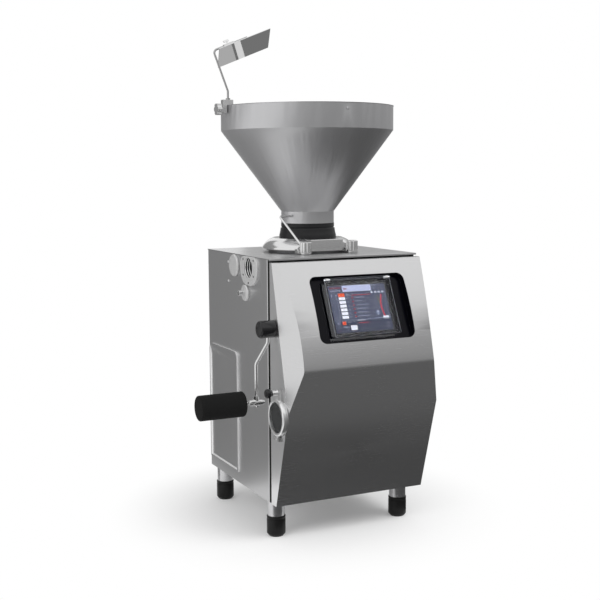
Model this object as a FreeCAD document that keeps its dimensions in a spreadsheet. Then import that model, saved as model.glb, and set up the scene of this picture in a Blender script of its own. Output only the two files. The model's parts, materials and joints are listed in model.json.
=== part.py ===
import FreeCAD, Part
import math
import os
import re
import Sketcher
from FreeCAD import Placement, Rotation, Vector

# Vacuum filler for sausage meat. Millimetres. The origin is on the floor, under the hopper's axis and
# in the middle of the four feet. +X is the machine's right as its operator sees it, -Y its front, +Z up.

os.makedirs("parts", exist_ok=True)
doc = FreeCAD.newDocument("VacuumFiller")

# Driving dimensions: name, value, what it measures
SIZES = [
    ("cab_w", 630, "cabinet width"),
    ("cab_d", 616, "cabinet depth"),
    ("cab_h", 920, "cabinet height without its legs"),
    ("leg_h", 145, "floor to the cabinet's underside"),
    ("wall", 3, "thickness of the cabinet's sheets"),
    ("corner_r", 10, "bend radius of the cabinet's upright corners"),
    ("seat", 0.2, "gap between pieces that rest on or beside each other"),
    ("run", 0.05, "radial clearance of a turning fit"),
    ("lip", 12, "how far the top cover stands out at the front"),
    ("lip_h", 7, "height of the top cover's front lip"),
    ("foot_in", 46, "leg centre to the cabinet's side"),
    ("tube_r", 33, "leg tube radius"),
    ("tube_wall", 3, "leg tube wall"),
    ("cap_r", 36, "rubber foot radius"),
    ("cap_h", 80, "rubber foot height"),
    ("cap_floor", 10, "rubber under the leg tube"),
    ("anchor_r", 5.5, "anchor hole in a foot's sole"),
    ("beam", 40, "square tube of the inner frame"),
    ("frame_gap", 8, "cabinet wall to the inner frame"),
    ("plate", 12, "thickness of the pump and motor plates"),
    ("shelf", 6, "thickness of the shelf on the lower rails"),
    ("deck_drop", 140, "cabinet top to the pump plate"),
    ("motor_drop", 213, "pump plate to the motor plate"),
    ("cover_gap", 16, "shadow gap behind the front cover"),
    ("cover_drop", 12, "cabinet top to the front cover's top"),
    ("kink_drop", 380, "front cover's top to its bend line"),
    ("kink_depth", 214, "depth of the front cover at its bend line"),
    ("top_depth", 52, "depth of the front cover at its top"),
    ("foot_depth", 58, "depth of the front cover at its foot"),
    ("crown_r", 924, "radius of the front cover's upper curve"),
    ("kink_r", 40, "bend radius on the bend line"),
    ("skin", 2, "front cover sheet"),
    ("flange", 20, "return flange behind the front cover"),
    ("bevel_depth", 31, "flank depth at the bevel's top"),
    ("bevel_drop", 150, "cabinet top to where the bevel's flank depth is measured"),
    ("bevel_lean", 0.244, "how the flank deepens per millimetre of drop"),
    ("bevel_slope", 2.05, "bevel depth per millimetre of its width"),
    ("bevel_reach", 110, "width over which the bevel is cut"),
    ("win_w", 398, "display window width"),
    ("win_h", 256, "display window height along its slope"),
    ("win_r", 28, "display window corner radius"),
    ("win_x", 5, "display window centre, right of the middle"),
    ("win_drop", 180, "cabinet top to the display window's centre"),
    ("win_back", 143.5, "display window centre in front of the cabinet"),
    ("win_tilt", 24.8, "lean of the display in degrees"),
    ("tray_deep", 24, "depth of the display recess"),
    ("tray_wall", 2.5, "wall of the display tray"),
    ("panel_w", 290, "touch panel width"),
    ("panel_h", 206, "touch panel height"),
    ("panel_t", 8, "touch panel thickness"),
    ("screen_w", 246, "visible screen width"),
    ("screen_h", 186, "visible screen height"),
    ("screen_t", 1.2, "screen glass"),
    ("flap_w", 274, "splash flap width"),
    ("flap_h", 228, "splash flap height"),
    ("flap_t", 4, "splash flap thickness"),
    ("flap_v", 112, "flap hinge above the window's centre"),
    ("clip_x", 126, "flap clip to the window's centre"),
    ("clip_w", 10, "flap clip width"),
    ("pin_r", 2, "flap hinge pin radius"),
    ("pump_r", 158, "vane pump housing radius"),
    ("part_gap", 0.3, "gap between the pump's sealing face and the hopper base"),
    ("cell_r", 105, "bore of the pump chamber"),
    ("cell_off", 12, "chamber axis in front of the rotor axis"),
    ("cell_rise", 50, "pump plate to the chamber's floor"),
    ("rotor_r", 88, "vane rotor radius"),
    ("rotor_h", 80, "vane rotor height"),
    ("vanes", 12, "number of vanes"),
    ("vane_t", 8, "vane thickness"),
    ("vane_w", 44, "vane width along the radius"),
    ("vane_out", 4.4, "how far a vane stands out of the rotor"),
    ("shaft_r", 20, "rotor shaft radius"),
    ("bearing_r", 34, "rotor bearing outer radius"),
    ("bearing_h", 18.5, "rotor bearing height"),
    ("seal_in", 126, "lid seal inner radius"),
    ("seal_w", 6, "lid seal width"),
    ("seal_t", 5, "lid seal height"),
    ("out_y", -142.5, "outlet axis, measured from the hopper axis"),
    ("out_drop", 45, "cabinet top to the outlet's axis"),
    ("out_r", 38, "outlet bore radius"),
    ("duct_w", 120, "outlet duct width"),
    ("duct_h", 86, "outlet duct height"),
    ("duct_low", 45, "outlet axis to the duct's underside"),
    ("duct_in", 24, "outlet duct's inner end beyond the rotor axis"),
    ("rim_t", 8, "outlet flange thickness"),
    ("rim_w", 162, "outlet flange width"),
    ("rim_up", 42, "outlet axis to the flange's top"),
    ("rim_down", 68, "outlet axis to the flange's foot"),
    ("bolt_y", 98, "outlet screw holes, spacing along the machine"),
    ("bolt_z", 60, "outlet screw holes, spacing in height"),
    ("bolt_r", 4.2, "outlet screw hole radius"),
    ("blank_y", 6, "blanking cap centre"),
    ("blank_drop", 46, "cabinet top to the blanking cap's centre"),
    ("blank_r", 43, "blanking cap radius"),
    ("blank_t", 10, "blanking cap thickness"),
    ("boss_y", -103, "linking drive axis"),
    ("boss_drop", 144, "cabinet top to the linking drive's axis"),
    ("boss_r", 32, "linking drive flange radius"),
    ("boss_t", 10, "linking drive flange thickness"),
    ("stub_r", 11, "linking drive shaft radius"),
    ("stub_out", 24, "linking drive shaft beyond its flange"),
    ("stud_y", 77, "side studs' place"),
    ("stud_drop_hi", 38, "cabinet top to the upper side stud"),
    ("stud_drop_lo", 114, "cabinet top to the lower side stud"),
    ("stud_r", 5.5, "side stud radius"),
    ("hatch_y0", -14, "side hatch front edge"),
    ("hatch_y1", 283, "side hatch rear edge"),
    ("hatch_rise", 45, "cabinet's underside to the side hatch"),
    ("hatch_drop", 390, "cabinet top to the side hatch's top"),
    ("hatch_t", 8, "side hatch thickness"),
    ("hatch_r", 26, "side hatch corner radius"),
    ("hub_y", -358, "knee lever axis"),
    ("hub_drop", 251, "cabinet top to the knee lever's axis"),
    ("hub_r", 32, "knee lever hub radius"),
    ("hub_len", 62, "knee lever hub length"),
    ("pivot_r", 10, "knee lever pivot radius"),
    ("rod_r", 7, "knee lever rod radius"),
    ("rod_in", 24, "rod's start, out from the cabinet side"),
    ("rod_out", 72, "rod's lower run, out from the cabinet side"),
    ("bend_drop_hi", 49, "lever axis to the rod's upper bend"),
    ("bend_drop_lo", 124, "lever axis to the rod's lower bend"),
    ("rod_bend_r", 26, "radius of the rod's bends"),
    ("roll_drop", 267, "lever axis to the roller's axis"),
    ("roll_r", 46, "knee roller radius"),
    ("roll_len", 172, "knee roller length"),
    ("roll_in", 125, "knee roller's inner end, out from the cabinet side"),
    ("roll_edge", 5, "rounding of the roller's ends"),
    ("spindle_r", 6, "roller spindle radius"),
    ("sleeve_r", 12, "cross clamp radius"),
    ("sleeve_in", 44, "cross clamp's inner end"),
    ("sleeve_len", 58, "cross clamp length"),
    ("grub_r", 3, "clamp screw radius"),
    ("glass_y", -414, "sight glass axis"),
    ("glass_drop", 51, "roller axis to the sight glass's axis"),
    ("ring_r", 69, "sight glass ring radius"),
    ("ring_t", 16, "sight glass ring thickness"),
    ("ring_edge", 7, "rounding of the ring's outer edge"),
    ("view_r", 57, "clear opening of the ring"),
    ("pane_r", 61, "sight glass radius"),
    ("pane_t", 10, "sight glass thickness"),
    ("pot_r", 48, "separator pot radius"),
    ("pot_wall", 3, "separator pot wall"),
    ("pot_len", 100, "separator pot depth behind the flank"),
    ("pot_rim", 7, "separator pot flange thickness"),
    ("ring_hinge", 78, "sight glass hinge below its axis"),
    ("knob_up", 94, "sight glass knob above its axis"),
    ("knob_fwd", 10, "sight glass knob in front of its axis"),
    ("knob_r", 17, "sight glass knob radius"),
    ("knob_out", 40, "sight glass knob's inner face, out from the flank"),
    ("knob_t", 25, "sight glass knob length"),
    ("lid_gap", 10, "cabinet top to the hopper base"),
    ("lid_t", 45, "hopper base thickness"),
    ("lid_r", 183, "hopper base radius at its foot"),
    ("lid_top_r", 141, "hopper base radius at its top"),
    ("lid_front", 172, "hopper axis to the base's flat front"),
    ("lid_bore", 90, "hopper base opening radius"),
    ("notch_in", 70, "screw notch, inner side"),
    ("notch_out", 150, "screw notch, outer side"),
    ("notch_deep", 142, "hopper axis to the notch's back"),
    ("screw_x", 101, "clamp screw to the hopper axis, sideways"),
    ("screw_y", -188, "clamp screw, in front of the hopper axis"),
    ("ear_drop", 8, "hopper base's underside to the ears' underside"),
    ("ear_t", 6, "clamp ear thickness"),
    ("ear_r", 24, "clamp ear radius"),
    ("flute_r", 23, "fluted clamp knob radius"),
    ("flute_h", 41, "fluted clamp knob height"),
    ("flutes", 10, "flutes round a clamp knob"),
    ("bolt_rad", 6, "clamp screw shank radius"),
    ("hinge_y", 206, "hopper hinge behind the hopper axis"),
    ("hinge_rise", 15, "hopper base's underside to the hinge"),
    ("hinge_r", 13, "hinge knuckle radius"),
    ("hinge_pin_r", 6, "hinge pin radius"),
    ("lug_w", 76, "width of the lid's hinge lug"),
    ("neck_rise", 104, "hopper base's underside to the hopper shell"),
    ("neck_len", 46, "straight neck of the hopper"),
    ("cone_len", 319, "height of the hopper's cone"),
    ("rim_band", 94, "height of the hopper's rim band"),
    ("neck_r", 106, "hopper neck radius"),
    ("bowl_r", 343, "hopper rim radius"),
    ("bowl_t", 2.5, "hopper sheet"),
    ("collar_r", 115, "collar radius at its foot"),
    ("collar_in", 92, "collar bore radius"),
    ("band_h", 16, "collar's upper band"),
    ("stay_r", 4.5, "stay rod radius"),
    ("grip_w", 42, "mirror clamp width"),
    ("grip_d", 24, "mirror clamp depth"),
    ("grip_drop", 30, "hopper's top to the mirror clamp's foot"),
    ("grip_h", 50, "mirror clamp height"),
    ("grip_y", 0, "mirror clamp along the rim"),
    ("thumb_r", 23, "star screw radius"),
    ("thumb_t", 18, "star screw thickness"),
    ("thumb_rise", 14, "mirror clamp's foot to the star screw"),
    ("arm_r", 4, "mirror rod radius"),
    ("arm_x", -338, "mirror rod foot"),
    ("elbow_rise", 54, "hopper's top to the mirror rod's lower bend"),
    ("arm_lean", 57, "how far the mirror rod leans out"),
    ("arm_rise_len", 149, "mirror rod's lower bend to its upper bend"),
    ("arm_rise", 22, "slope of the mirror rod's top run in degrees"),
    ("arm_reach", 150, "length of the mirror rod's top run"),
    ("glass_w", 230, "mirror length"),
    ("glass_h", 105, "mirror width"),
    ("glass_t", 3, "mirror thickness"),
    ("glass_lean", -40.3, "mirror's turn about the rod in degrees"),
    ("pulley_r", 100, "rotor pulley radius"),
    ("pinion_r", 36.4, "motor pulley radius"),
    ("pulley_rise", 8, "motor plate to the pulleys"),
    ("pulley_h", 34, "pulley height"),
    ("belt_t", 5, "belt thickness"),
    ("motor_y", 190, "motor axis behind the rotor axis"),
    ("motor_w", 130, "motor body width"),
    ("motor_len", 290, "motor body length"),
    ("motor_shaft", 14, "motor shaft radius"),
    ("vac_y", 150, "vacuum pump axis"),
    ("vac_rise", 117, "cabinet's underside to the vacuum pump's axis"),
    ("vac_r", 58, "vacuum pump radius"),
    ("vac_len", 330, "vacuum pump length"),
    ("pipe_r", 12, "vacuum pipe radius"),
    ("pipe_x", -240, "vacuum pipes' place"),
    ("vent_w", 460, "rear cover width"),
    ("vent_short", 320, "how much lower the rear cover is than the cabinet"),
    ("vent_rise", 105, "cabinet's underside to the rear cover"),
    ("slot_w", 160, "louvre width"),
    ("slot_pitch", 36, "louvre pitch"),
    ("slots", 8, "louvres in a column"),
    ("board_rise", 185, "cabinet's underside to the electrical plate"),
    ("drive_rise", 395, "cabinet's underside to the servo drive's middle"),
    ("drive_w", 240, "servo drive height"),
    ("drive_d", 180, "servo drive width"),
    ("pipe_in_x", -100, "suction pipe in the pump plate, sideways"),
    ("pipe_in_y", -90, "suction pipe in the pump plate, along the machine"),
    ("pipe_loop", 90, "pump plate to the suction pipe's bend"),
    ("switch_x", -190, "mains switch place"),
    ("switch_drop", 125, "cabinet top to the mains switch"),
]

# Heights that follow the cabinet and each other: name, formula, what it measures
HEIGHTS = [
    ("deck_z", "leg_h + cab_h - deck_drop", "height of the pump plate's top face"),
    ("motor_z", "deck_z - motor_drop", "height of the motor plate's top face"),
    ("cover_rise", "cab_h - cover_drop", "height of the front cover"),
    ("kink_rise", "cover_rise - kink_drop", "height of the front cover's bend line"),
    ("bevel_top", "leg_h + cab_h - bevel_drop", "height at which that depth is measured"),
    ("win_z", "leg_h + cab_h - win_drop", "display window centre height"),
    ("lid_z", "leg_h + cab_h + lid_gap", "underside of the hopper base"),
    ("pump_top", "lid_z - part_gap", "height of the housing's sealing face"),
    ("cell_z", "deck_z + cell_rise", "height of the chamber floor"),
    ("out_z", "leg_h + cab_h - out_drop", "outlet axis height"),
    ("blank_z", "leg_h + cab_h - blank_drop", "blanking cap centre height"),
    ("boss_z", "leg_h + cab_h - boss_drop", "linking drive axis height"),
    ("stud_hi", "leg_h + cab_h - stud_drop_hi", "upper side stud height"),
    ("stud_lo", "leg_h + cab_h - stud_drop_lo", "lower side stud height"),
    ("hatch_z0", "leg_h + hatch_rise", "side hatch foot"),
    ("hatch_z1", "leg_h + cab_h - hatch_drop", "side hatch top"),
    ("hub_z", "leg_h + cab_h - hub_drop", "knee lever axis height"),
    ("rod_bend_hi", "hub_z - bend_drop_hi", "height of the rod's upper bend"),
    ("rod_bend_lo", "hub_z - bend_drop_lo", "height of the rod's lower bend"),
    ("roll_z", "hub_z - roll_drop", "knee roller axis height"),
    ("glass_z", "roll_z - glass_drop", "sight glass axis height"),
    ("ear_z", "lid_z - ear_drop", "underside of the clamp ears"),
    ("hinge_z", "lid_z + hinge_rise", "hopper hinge height"),
    ("neck_z", "lid_z + neck_rise", "foot of the hopper shell"),
    ("cone_z", "neck_z + neck_len", "foot of the hopper's cone"),
    ("rim_z", "cone_z + cone_len", "foot of the hopper's rim band"),
    ("top_z", "rim_z + rim_band", "top of the hopper"),
    ("grip_z", "top_z - grip_drop", "mirror clamp foot"),
    ("thumb_z", "grip_z + thumb_rise", "star screw height"),
    ("arm_elbow_z", "top_z + elbow_rise", "mirror rod's lower bend"),
    ("arm_top_z", "arm_elbow_z + arm_rise_len", "mirror rod's upper bend"),
    ("pulley_z", "motor_z + pulley_rise", "foot of the pulleys"),
    ("vac_z", "leg_h + vac_rise", "vacuum pump axis height"),
    ("vent_h", "cab_h - vent_short", "rear cover height"),
    ("vent_z", "leg_h + vent_rise", "rear cover foot"),
    ("switch_z", "leg_h + cab_h - switch_drop", "mains switch height"),
]

sheet = doc.addObject("Spreadsheet::Sheet", "Sizes")
CELLS = [(alias, str(value), note) for alias, value, note in SIZES]
CELLS += [(alias, "=" + formula, note) for alias, formula, note in HEIGHTS]
for row, (alias, content, note) in enumerate(CELLS, start=1):
    sheet.set(f"A{row}", note)
    sheet.set(f"B{row}", content)
    sheet.setAlias(f"B{row}", alias)
doc.recompute()

ALIAS = re.compile(r"\b(" + "|".join(alias for alias, content, note in CELLS) + r")\b")
LEFT = "-cab_w / 2"
FRONT = "-cab_d / 2"
TOP = "(leg_h + cab_h)"
nodes = []


def link(text):
    """The expression with each size name pointing at the sheet."""
    return ALIAS.sub(r"Sizes.\1", text)


def number(text):
    """What an expression comes to, for places that hold a number only."""
    result = sheet.evalExpression(link(text))
    return float(getattr(result, "Value", result))


def bind(thing, **places):
    for place, text in places.items():
        thing.setExpression(place, link(text))


def at(thing, x="0", y="0", z="0"):
    thing.setExpression("Placement.Base.x", link(x))
    thing.setExpression("Placement.Base.y", link(y))
    thing.setExpression("Placement.Base.z", link(z))
    return thing


TURNS = {
    "X": Rotation(Vector(0, 1, 0), 90),
    "-X": Rotation(Vector(0, 1, 0), -90),
    "Y": Rotation(Vector(1, 0, 0), -90),
    "-Y": Rotation(Vector(1, 0, 0), 90),
    "Z": Rotation(),
}


def block(name, dx, dy, dz, x="0", y="0", z="0"):
    piece = doc.addObject("Part::Box", name)
    bind(piece, Length=dx, Width=dy, Height=dz)
    return at(piece, x, y, z)


def middle_block(name, dx, dy, dz, x="0", y="0", z="0"):
    """A block centred on x and y and standing on z."""
    return block(name, dx, dy, dz, f"{x} - ({dx}) / 2", f"{y} - ({dy}) / 2", z)


def rod(name, radius, length, x="0", y="0", z="0", axis="Z"):
    piece = doc.addObject("Part::Cylinder", name)
    bind(piece, Radius=radius, Height=length)
    piece.Placement = Placement(Vector(), TURNS[axis])
    return at(piece, x, y, z)


def cut(name, base, *tools):
    tool = tools[0]
    if len(tools) > 1:
        tool = doc.addObject("Part::MultiFuse", name + "_cutters")
        tool.Shapes = list(tools)
    piece = doc.addObject("Part::Cut", name)
    piece.Base = base
    piece.Tool = tool
    return piece


def join(name, *pieces):
    piece = doc.addObject("Part::MultiFuse", name)
    piece.Shapes = list(pieces)
    piece.Refine = True
    return piece


def overlap(name, first, second):
    piece = doc.addObject("Part::MultiCommon", name)
    piece.Shapes = [first, second]
    return piece


def group(name, *pieces):
    piece = doc.addObject("Part::Compound", name)
    piece.Links = list(pieces)
    return piece


def node(piece):
    nodes.append(piece)
    return piece


def body(name, axis="Z"):
    piece = doc.addObject("PartDesign::Body", name)
    piece.Placement = Placement(Vector(), TURNS[axis])
    return piece


def new_sketch(owner, name, plane, lift):
    sketch = owner.newObject("Sketcher::SketchObject", name)
    base = [feature for feature in owner.Origin.OriginFeatures if feature.Role == plane][0]
    sketch.AttachmentSupport = (base, [""])
    sketch.MapMode = "FlatFace"
    sketch.setExpression("AttachmentOffset.Base.z", link(lift))
    return sketch


def fix(sketch, kind, *place, text):
    index = sketch.addConstraint(Sketcher.Constraint(kind, *place, number(text)))
    sketch.setExpression(f"Constraints[{index}]", link(text))


def arc_between(start, end, radius):
    """An arc that bulges to the right of the way from start to end, or to the left if radius < 0."""
    if radius < 0:
        start, end = end, start
    half = (end - start).Length / 2
    inward = Vector(start.y - end.y, end.x - start.x, 0).normalize()
    centre = (start + end) / 2 + inward * math.sqrt(radius * radius - half * half)
    angles = [math.atan2(spot.y - centre.y, spot.x - centre.x) for spot in (start, end)]
    return Part.ArcOfCircle(Part.Circle(centre, Vector(0, 0, 1), abs(radius)), *angles)


def trace(sketch, points):
    """A closed outline. A point is (x, y), or (x, y, radius) where an arc leads to it."""
    first = sketch.GeometryCount
    spots = [Vector(number(point[0]), number(point[1]), 0) for point in points]
    count = len(points)
    for index in range(count):
        start, end = spots[index - 1], spots[index]
        if len(points[index]) > 2:
            sketch.addGeometry(arc_between(start, end, number(points[index][2])), False)
        else:
            sketch.addGeometry(Part.LineSegment(start, end), False)
    for index in range(count):
        line = first + index
        after = first + (index + 1) % count
        ends = []
        for side in (line, after):
            starts_here = sketch.Geometry[side].StartPoint.distanceToPoint(spots[index]) < 1e-6
            ends.append((side, 1 if starts_here else 2))
        sketch.addConstraint(Sketcher.Constraint("Coincident", *ends[0], *ends[1]))
        fix(sketch, "DistanceX", -1, 1, *ends[1], text=points[index][0])
        fix(sketch, "DistanceY", -1, 1, *ends[1], text=points[index][1])
        if len(points[index]) > 2:
            fix(sketch, "Radius", line, text=points[index][2].lstrip("-"))


def outline(owner, name, plane, points, lift="0"):
    sketch = new_sketch(owner, name, plane, lift)
    trace(sketch, points)
    return sketch


def rectangle(x0, y0, x1, y1):
    return [(x0, y0), (x1, y0), (x1, y1), (x0, y1)]


def circles(owner, name, plane, spots, lift="0"):
    """Circles given as (x, y, radius)."""
    sketch = new_sketch(owner, name, plane, lift)
    for index, (x, y, radius) in enumerate(spots):
        centre = Vector(number(x), number(y), 0)
        sketch.addGeometry(Part.Circle(centre, Vector(0, 0, 1), number(radius)), False)
        fix(sketch, "DistanceX", -1, 1, index, 3, text=x)
        fix(sketch, "DistanceY", -1, 1, index, 3, text=y)
        fix(sketch, "Radius", index, text=radius)
    return sketch


def feature(owner, kind, name, sketch, **settings):
    made = owner.newObject("PartDesign::" + kind, name)
    made.Profile = sketch
    for key, value in settings.items():
        if key == "length":
            bind(made, Length=value)
        else:
            setattr(made, key, value)
    doc.recompute()
    return made


def revolve(owner, name, points, kind="Revolution"):
    """A turned form about the body's own Z axis, from its half section (radius, height)."""
    sketch = outline(owner, name + "_section", "XZ_Plane", points)
    made = owner.newObject("PartDesign::" + kind, name)
    made.Profile = sketch
    made.ReferenceAxis = (sketch, ["V_Axis"])
    made.Angle = 360
    doc.recompute()
    return made


def round_pattern(owner, name, originals, sketch, count):
    made = owner.newObject("PartDesign::PolarPattern", name)
    made.Originals = originals
    made.Axis = (sketch, ["N_Axis"])
    made.Angle = 360
    bind(made, Occurrences=count)
    owner.Tip = made
    doc.recompute()
    return made


def edges_where(shape, test):
    return [f"Edge{index}" for index, edge in enumerate(shape.Edges, start=1) if test(edge)]


def along(axis, edge):
    """True for a straight edge that runs along the axis."""
    if len(edge.Vertexes) != 2 or not isinstance(edge.Curve, Part.Line):
        return False
    run = edge.Vertexes[1].Point - edge.Vertexes[0].Point
    return run.cross(axis).Length < 1e-6 * run.Length


def soften(owner, name, radius, test, kind="Fillet"):
    """Rounds the edges of the body so far that pass the test."""
    doc.recompute()
    base = owner.Tip
    made = owner.newObject("PartDesign::" + kind, name)
    made.Base = (base, edges_where(base.Shape, test))
    bind(made, **{"Radius" if kind == "Fillet" else "Size": radius})
    doc.recompute()
    return made


UP = Vector(0, 0, 1)


def upright(edge):
    return along(UP, edge)


def bent_bar(points, radius, bend):
    """A round bar along straight runs joined by arcs of one radius."""
    spots = [Vector(*point) for point in points]
    edges = []
    start = spots[0]
    for before, corner, after in zip(spots, spots[1:], spots[2:]):
        back = (before - corner).normalize()
        ahead = (after - corner).normalize()
        half = (math.pi - back.getAngle(ahead)) / 2
        leg = bend * math.tan(half)
        into, out = corner + back * leg, corner + ahead * leg
        centre = corner + (back + ahead).normalize() * (bend / math.cos(half))
        middle = centre + (corner - centre).normalize() * bend
        edges.append(Part.LineSegment(start, into).toShape())
        edges.append(Part.Arc(into, middle, out).toShape())
        start = out
    edges.append(Part.LineSegment(start, spots[-1]).toShape())
    path = Part.Wire(edges)
    ring = Part.Wire(Part.Circle(spots[0], spots[1] - spots[0], radius).toShape())
    return path.makePipeShell([ring], True, True)


def shape_node(name, shape):
    piece = doc.addObject("Part::Feature", name)
    piece.Shape = shape
    return piece


# Legs: stainless tubes in black rubber feet
def legs():
    tubes = []
    caps = []
    for side in (-1, 1):
        for end in (-1, 1):
            x = f"{side} * (cab_w / 2 - foot_in)"
            y = f"{end} * (cab_d / 2 - foot_in)"
            tag = f"{'left' if side < 0 else 'right'}_{'front' if end < 0 else 'rear'}"
            tube = rod(f"tube_{tag}", "tube_r", "leg_h - cap_floor", x, y, "cap_floor")
            bore = rod(f"tube_bore_{tag}", "tube_r - tube_wall", "leg_h", x, y, "cap_floor - 1")
            tubes.append(cut(f"tube_{tag}_hollow", tube, bore))
            cap = body(f"cap_{tag}")
            revolve(cap, f"cap_{tag}_form", [
                ("anchor_r", "0"), ("cap_r - 8", "0"), ("cap_r", "cap_floor"), ("cap_r", "cap_h - 14"),
                ("cap_r - 1.5", "cap_h - 13"), ("cap_r - 1.5", "cap_h - 9"), ("cap_r", "cap_h - 8"),
                ("cap_r", "cap_h - 2"), ("cap_r - 2", "cap_h"), ("tube_r + run", "cap_h"),
                ("tube_r + run", "cap_floor"), ("anchor_r", "cap_floor"),
            ])
            caps.append(at(cap, x, y))
    node(group("leg_tubes", *tubes))
    node(group("foot_caps", *caps))


# Welded frame of square tube with the shelf, the pump plate and the motor plate
def base_frame():
    half_x = "(cab_w / 2 - wall - frame_gap)"
    half_y = "(cab_d / 2 - wall - frame_gap)"
    foot = "(leg_h + wall)"
    parts = []
    for side in (-1, 1):
        for end in (-1, 1):
            x = f"{side} * ({half_x} - beam / 2)"
            y = f"{end} * ({half_y} - beam / 2)"
            tag = f"{side}{end}".replace("-", "m")
            parts.append(middle_block(f"post_{tag}", "beam", "beam", f"{TOP} - wall - {foot}", x, y, foot))
    for level, z in (("low", foot), ("high", "deck_z - beam")):
        for side in (-1, 1):
            tag = f"{level}_{side}".replace("-", "m")
            parts.append(middle_block(f"side_rail_{tag}", "beam", f"2 * {half_y}", "beam",
                                      f"{side} * ({half_x} - beam / 2)", "0", z))
            parts.append(middle_block(f"end_rail_{tag}", f"2 * {half_x}", "beam", "beam",
                                      "0", f"{side} * ({half_y} - beam / 2)", z))
    parts.append(middle_block("shelf_plate", f"2 * {half_x}", f"2 * {half_y}", "shelf", "0", "0",
                              f"{foot} + beam"))
    parts.append(middle_block("pump_plate", f"2 * {half_x}", f"2 * {half_y}", "plate", "0", "0",
                              "deck_z - plate"))
    parts.append(block("motor_plate", f"2 * {half_x}", f"{half_y} - pulley_r - 20", "plate",
                       f"-{half_x}", "pulley_r + 20", "motor_z - plate"))
    welded = join("frame_welded", *parts)
    shaft_hole = rod("frame_shaft_hole", "60", "beam * 2", "0", "0", "deck_z - beam")
    motor_hole = rod("frame_motor_hole", "55 + seat", "plate * 2", "0", "motor_y", "motor_z - plate * 1.5")
    pipe_hole = rod("frame_pipe_hole", "pipe_r + 4", "beam * 2", "pipe_in_x", "pipe_in_y",
                    "deck_z - beam")
    drive_notch = rod("frame_drive_notch", "stub_r + 12", "80", LEFT, "boss_y", "boss_z", "X")
    node(cut("base_frame", welded, shaft_hole, motor_hole, pipe_hole, drive_notch))


# Cabinet: one bent and welded shell, with openings for what passes through it
def cabinet():
    shell = body("shell_form")
    sketch = outline(shell, "shell_plan", "XY_Plane",
                     rectangle(LEFT, FRONT, "cab_w / 2", "cab_d / 2"))
    feature(shell, "Pad", "shell_block", sketch, length="cab_h - wall - seat")
    soften(shell, "shell_corners", "corner_r", upright)
    inside = outline(shell, "shell_hollow_plan", "XY_Plane",
                     rectangle(f"{LEFT} + wall", f"{FRONT} + wall", "cab_w / 2 - wall", "cab_d / 2 - wall"))
    feature(shell, "Pocket", "shell_hollow", inside, length="cab_h", Reversed=True)
    at(shell, z="leg_h")
    duct = block("shell_duct_hole", "wall * 4", "duct_w + 2", "duct_h + 2", f"{LEFT} - wall",
                 "out_y - duct_w / 2 - 1", "out_z - duct_low - 1")
    drive = rod("shell_drive_hole", "stub_r + 10", "wall * 4", f"{LEFT} - wall", "boss_y", "boss_z", "X")
    blank = rod("shell_blank_hole", "blank_r - 12", "wall * 4", f"{LEFT} - wall", "blank_y", "blank_z", "X")
    low_pipe = rod("shell_low_pipe_hole", "pipe_r + 4", "wall * 4", "pipe_x", f"{FRONT} - wall",
                   "glass_z", "Y")
    high_pipe = rod("shell_high_pipe_hole", "pipe_r + 4", "wall * 4", "pipe_x", f"{FRONT} - wall",
                    "glass_z + 64", "Y")
    wiring = middle_block("shell_wiring_hole", "160", "wall * 4", "90", "win_x", FRONT, "win_z - 45")
    vent = middle_block("shell_vent_hole", "vent_w - 60", "wall * 4", "vent_h - 60", "0", "cab_d / 2",
                        "vent_z + 30")
    node(cut("cabinet_shell", shell, duct, drive, blank, low_pipe, high_pipe, wiring, vent))

    pan = middle_block("pan_sheet", "cab_w - 2 * wall - 2 * seat", "cab_d - 2 * wall - 2 * seat",
                       "wall", "0", "0", "leg_h")
    drain = rod("pan_drain", "30", "wall * 3", "0", "0", "leg_h - wall")
    node(cut("base_pan", pan, drain))

    top = body("top_cover")
    sheet_plan = outline(top, "top_plan", "XY_Plane",
                         rectangle(LEFT, f"{FRONT} - lip", "cab_w / 2", "cab_d / 2"))
    feature(top, "Pad", "top_sheet", sheet_plan, length="wall", Reversed=True)
    lip_plan = outline(top, "lip_plan", "XY_Plane",
                       rectangle(LEFT, f"{FRONT} - lip", "cab_w / 2", f"{FRONT} - lip + wall"))
    feature(top, "Pad", "top_lip", lip_plan, length="lip_h", Reversed=True)
    holes = circles(top, "top_hole_plan", "XY_Plane", [
        ("0", "0", "pump_r + 1"), ("screw_x", "screw_y", "bolt_rad + 2"),
        ("-screw_x", "screw_y", "bolt_rad + 2"),
    ])
    feature(top, "Pocket", "top_holes", holes, length="wall * 2")
    soften(top, "top_edge", "1.5", lambda edge: along(Vector(1, 0, 0), edge)
           and edge.Vertexes[0].Y < number(f"{FRONT} - lip") + 0.1 and edge.Vertexes[0].Z > -0.1)
    node(at(top, z=TOP))


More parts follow.
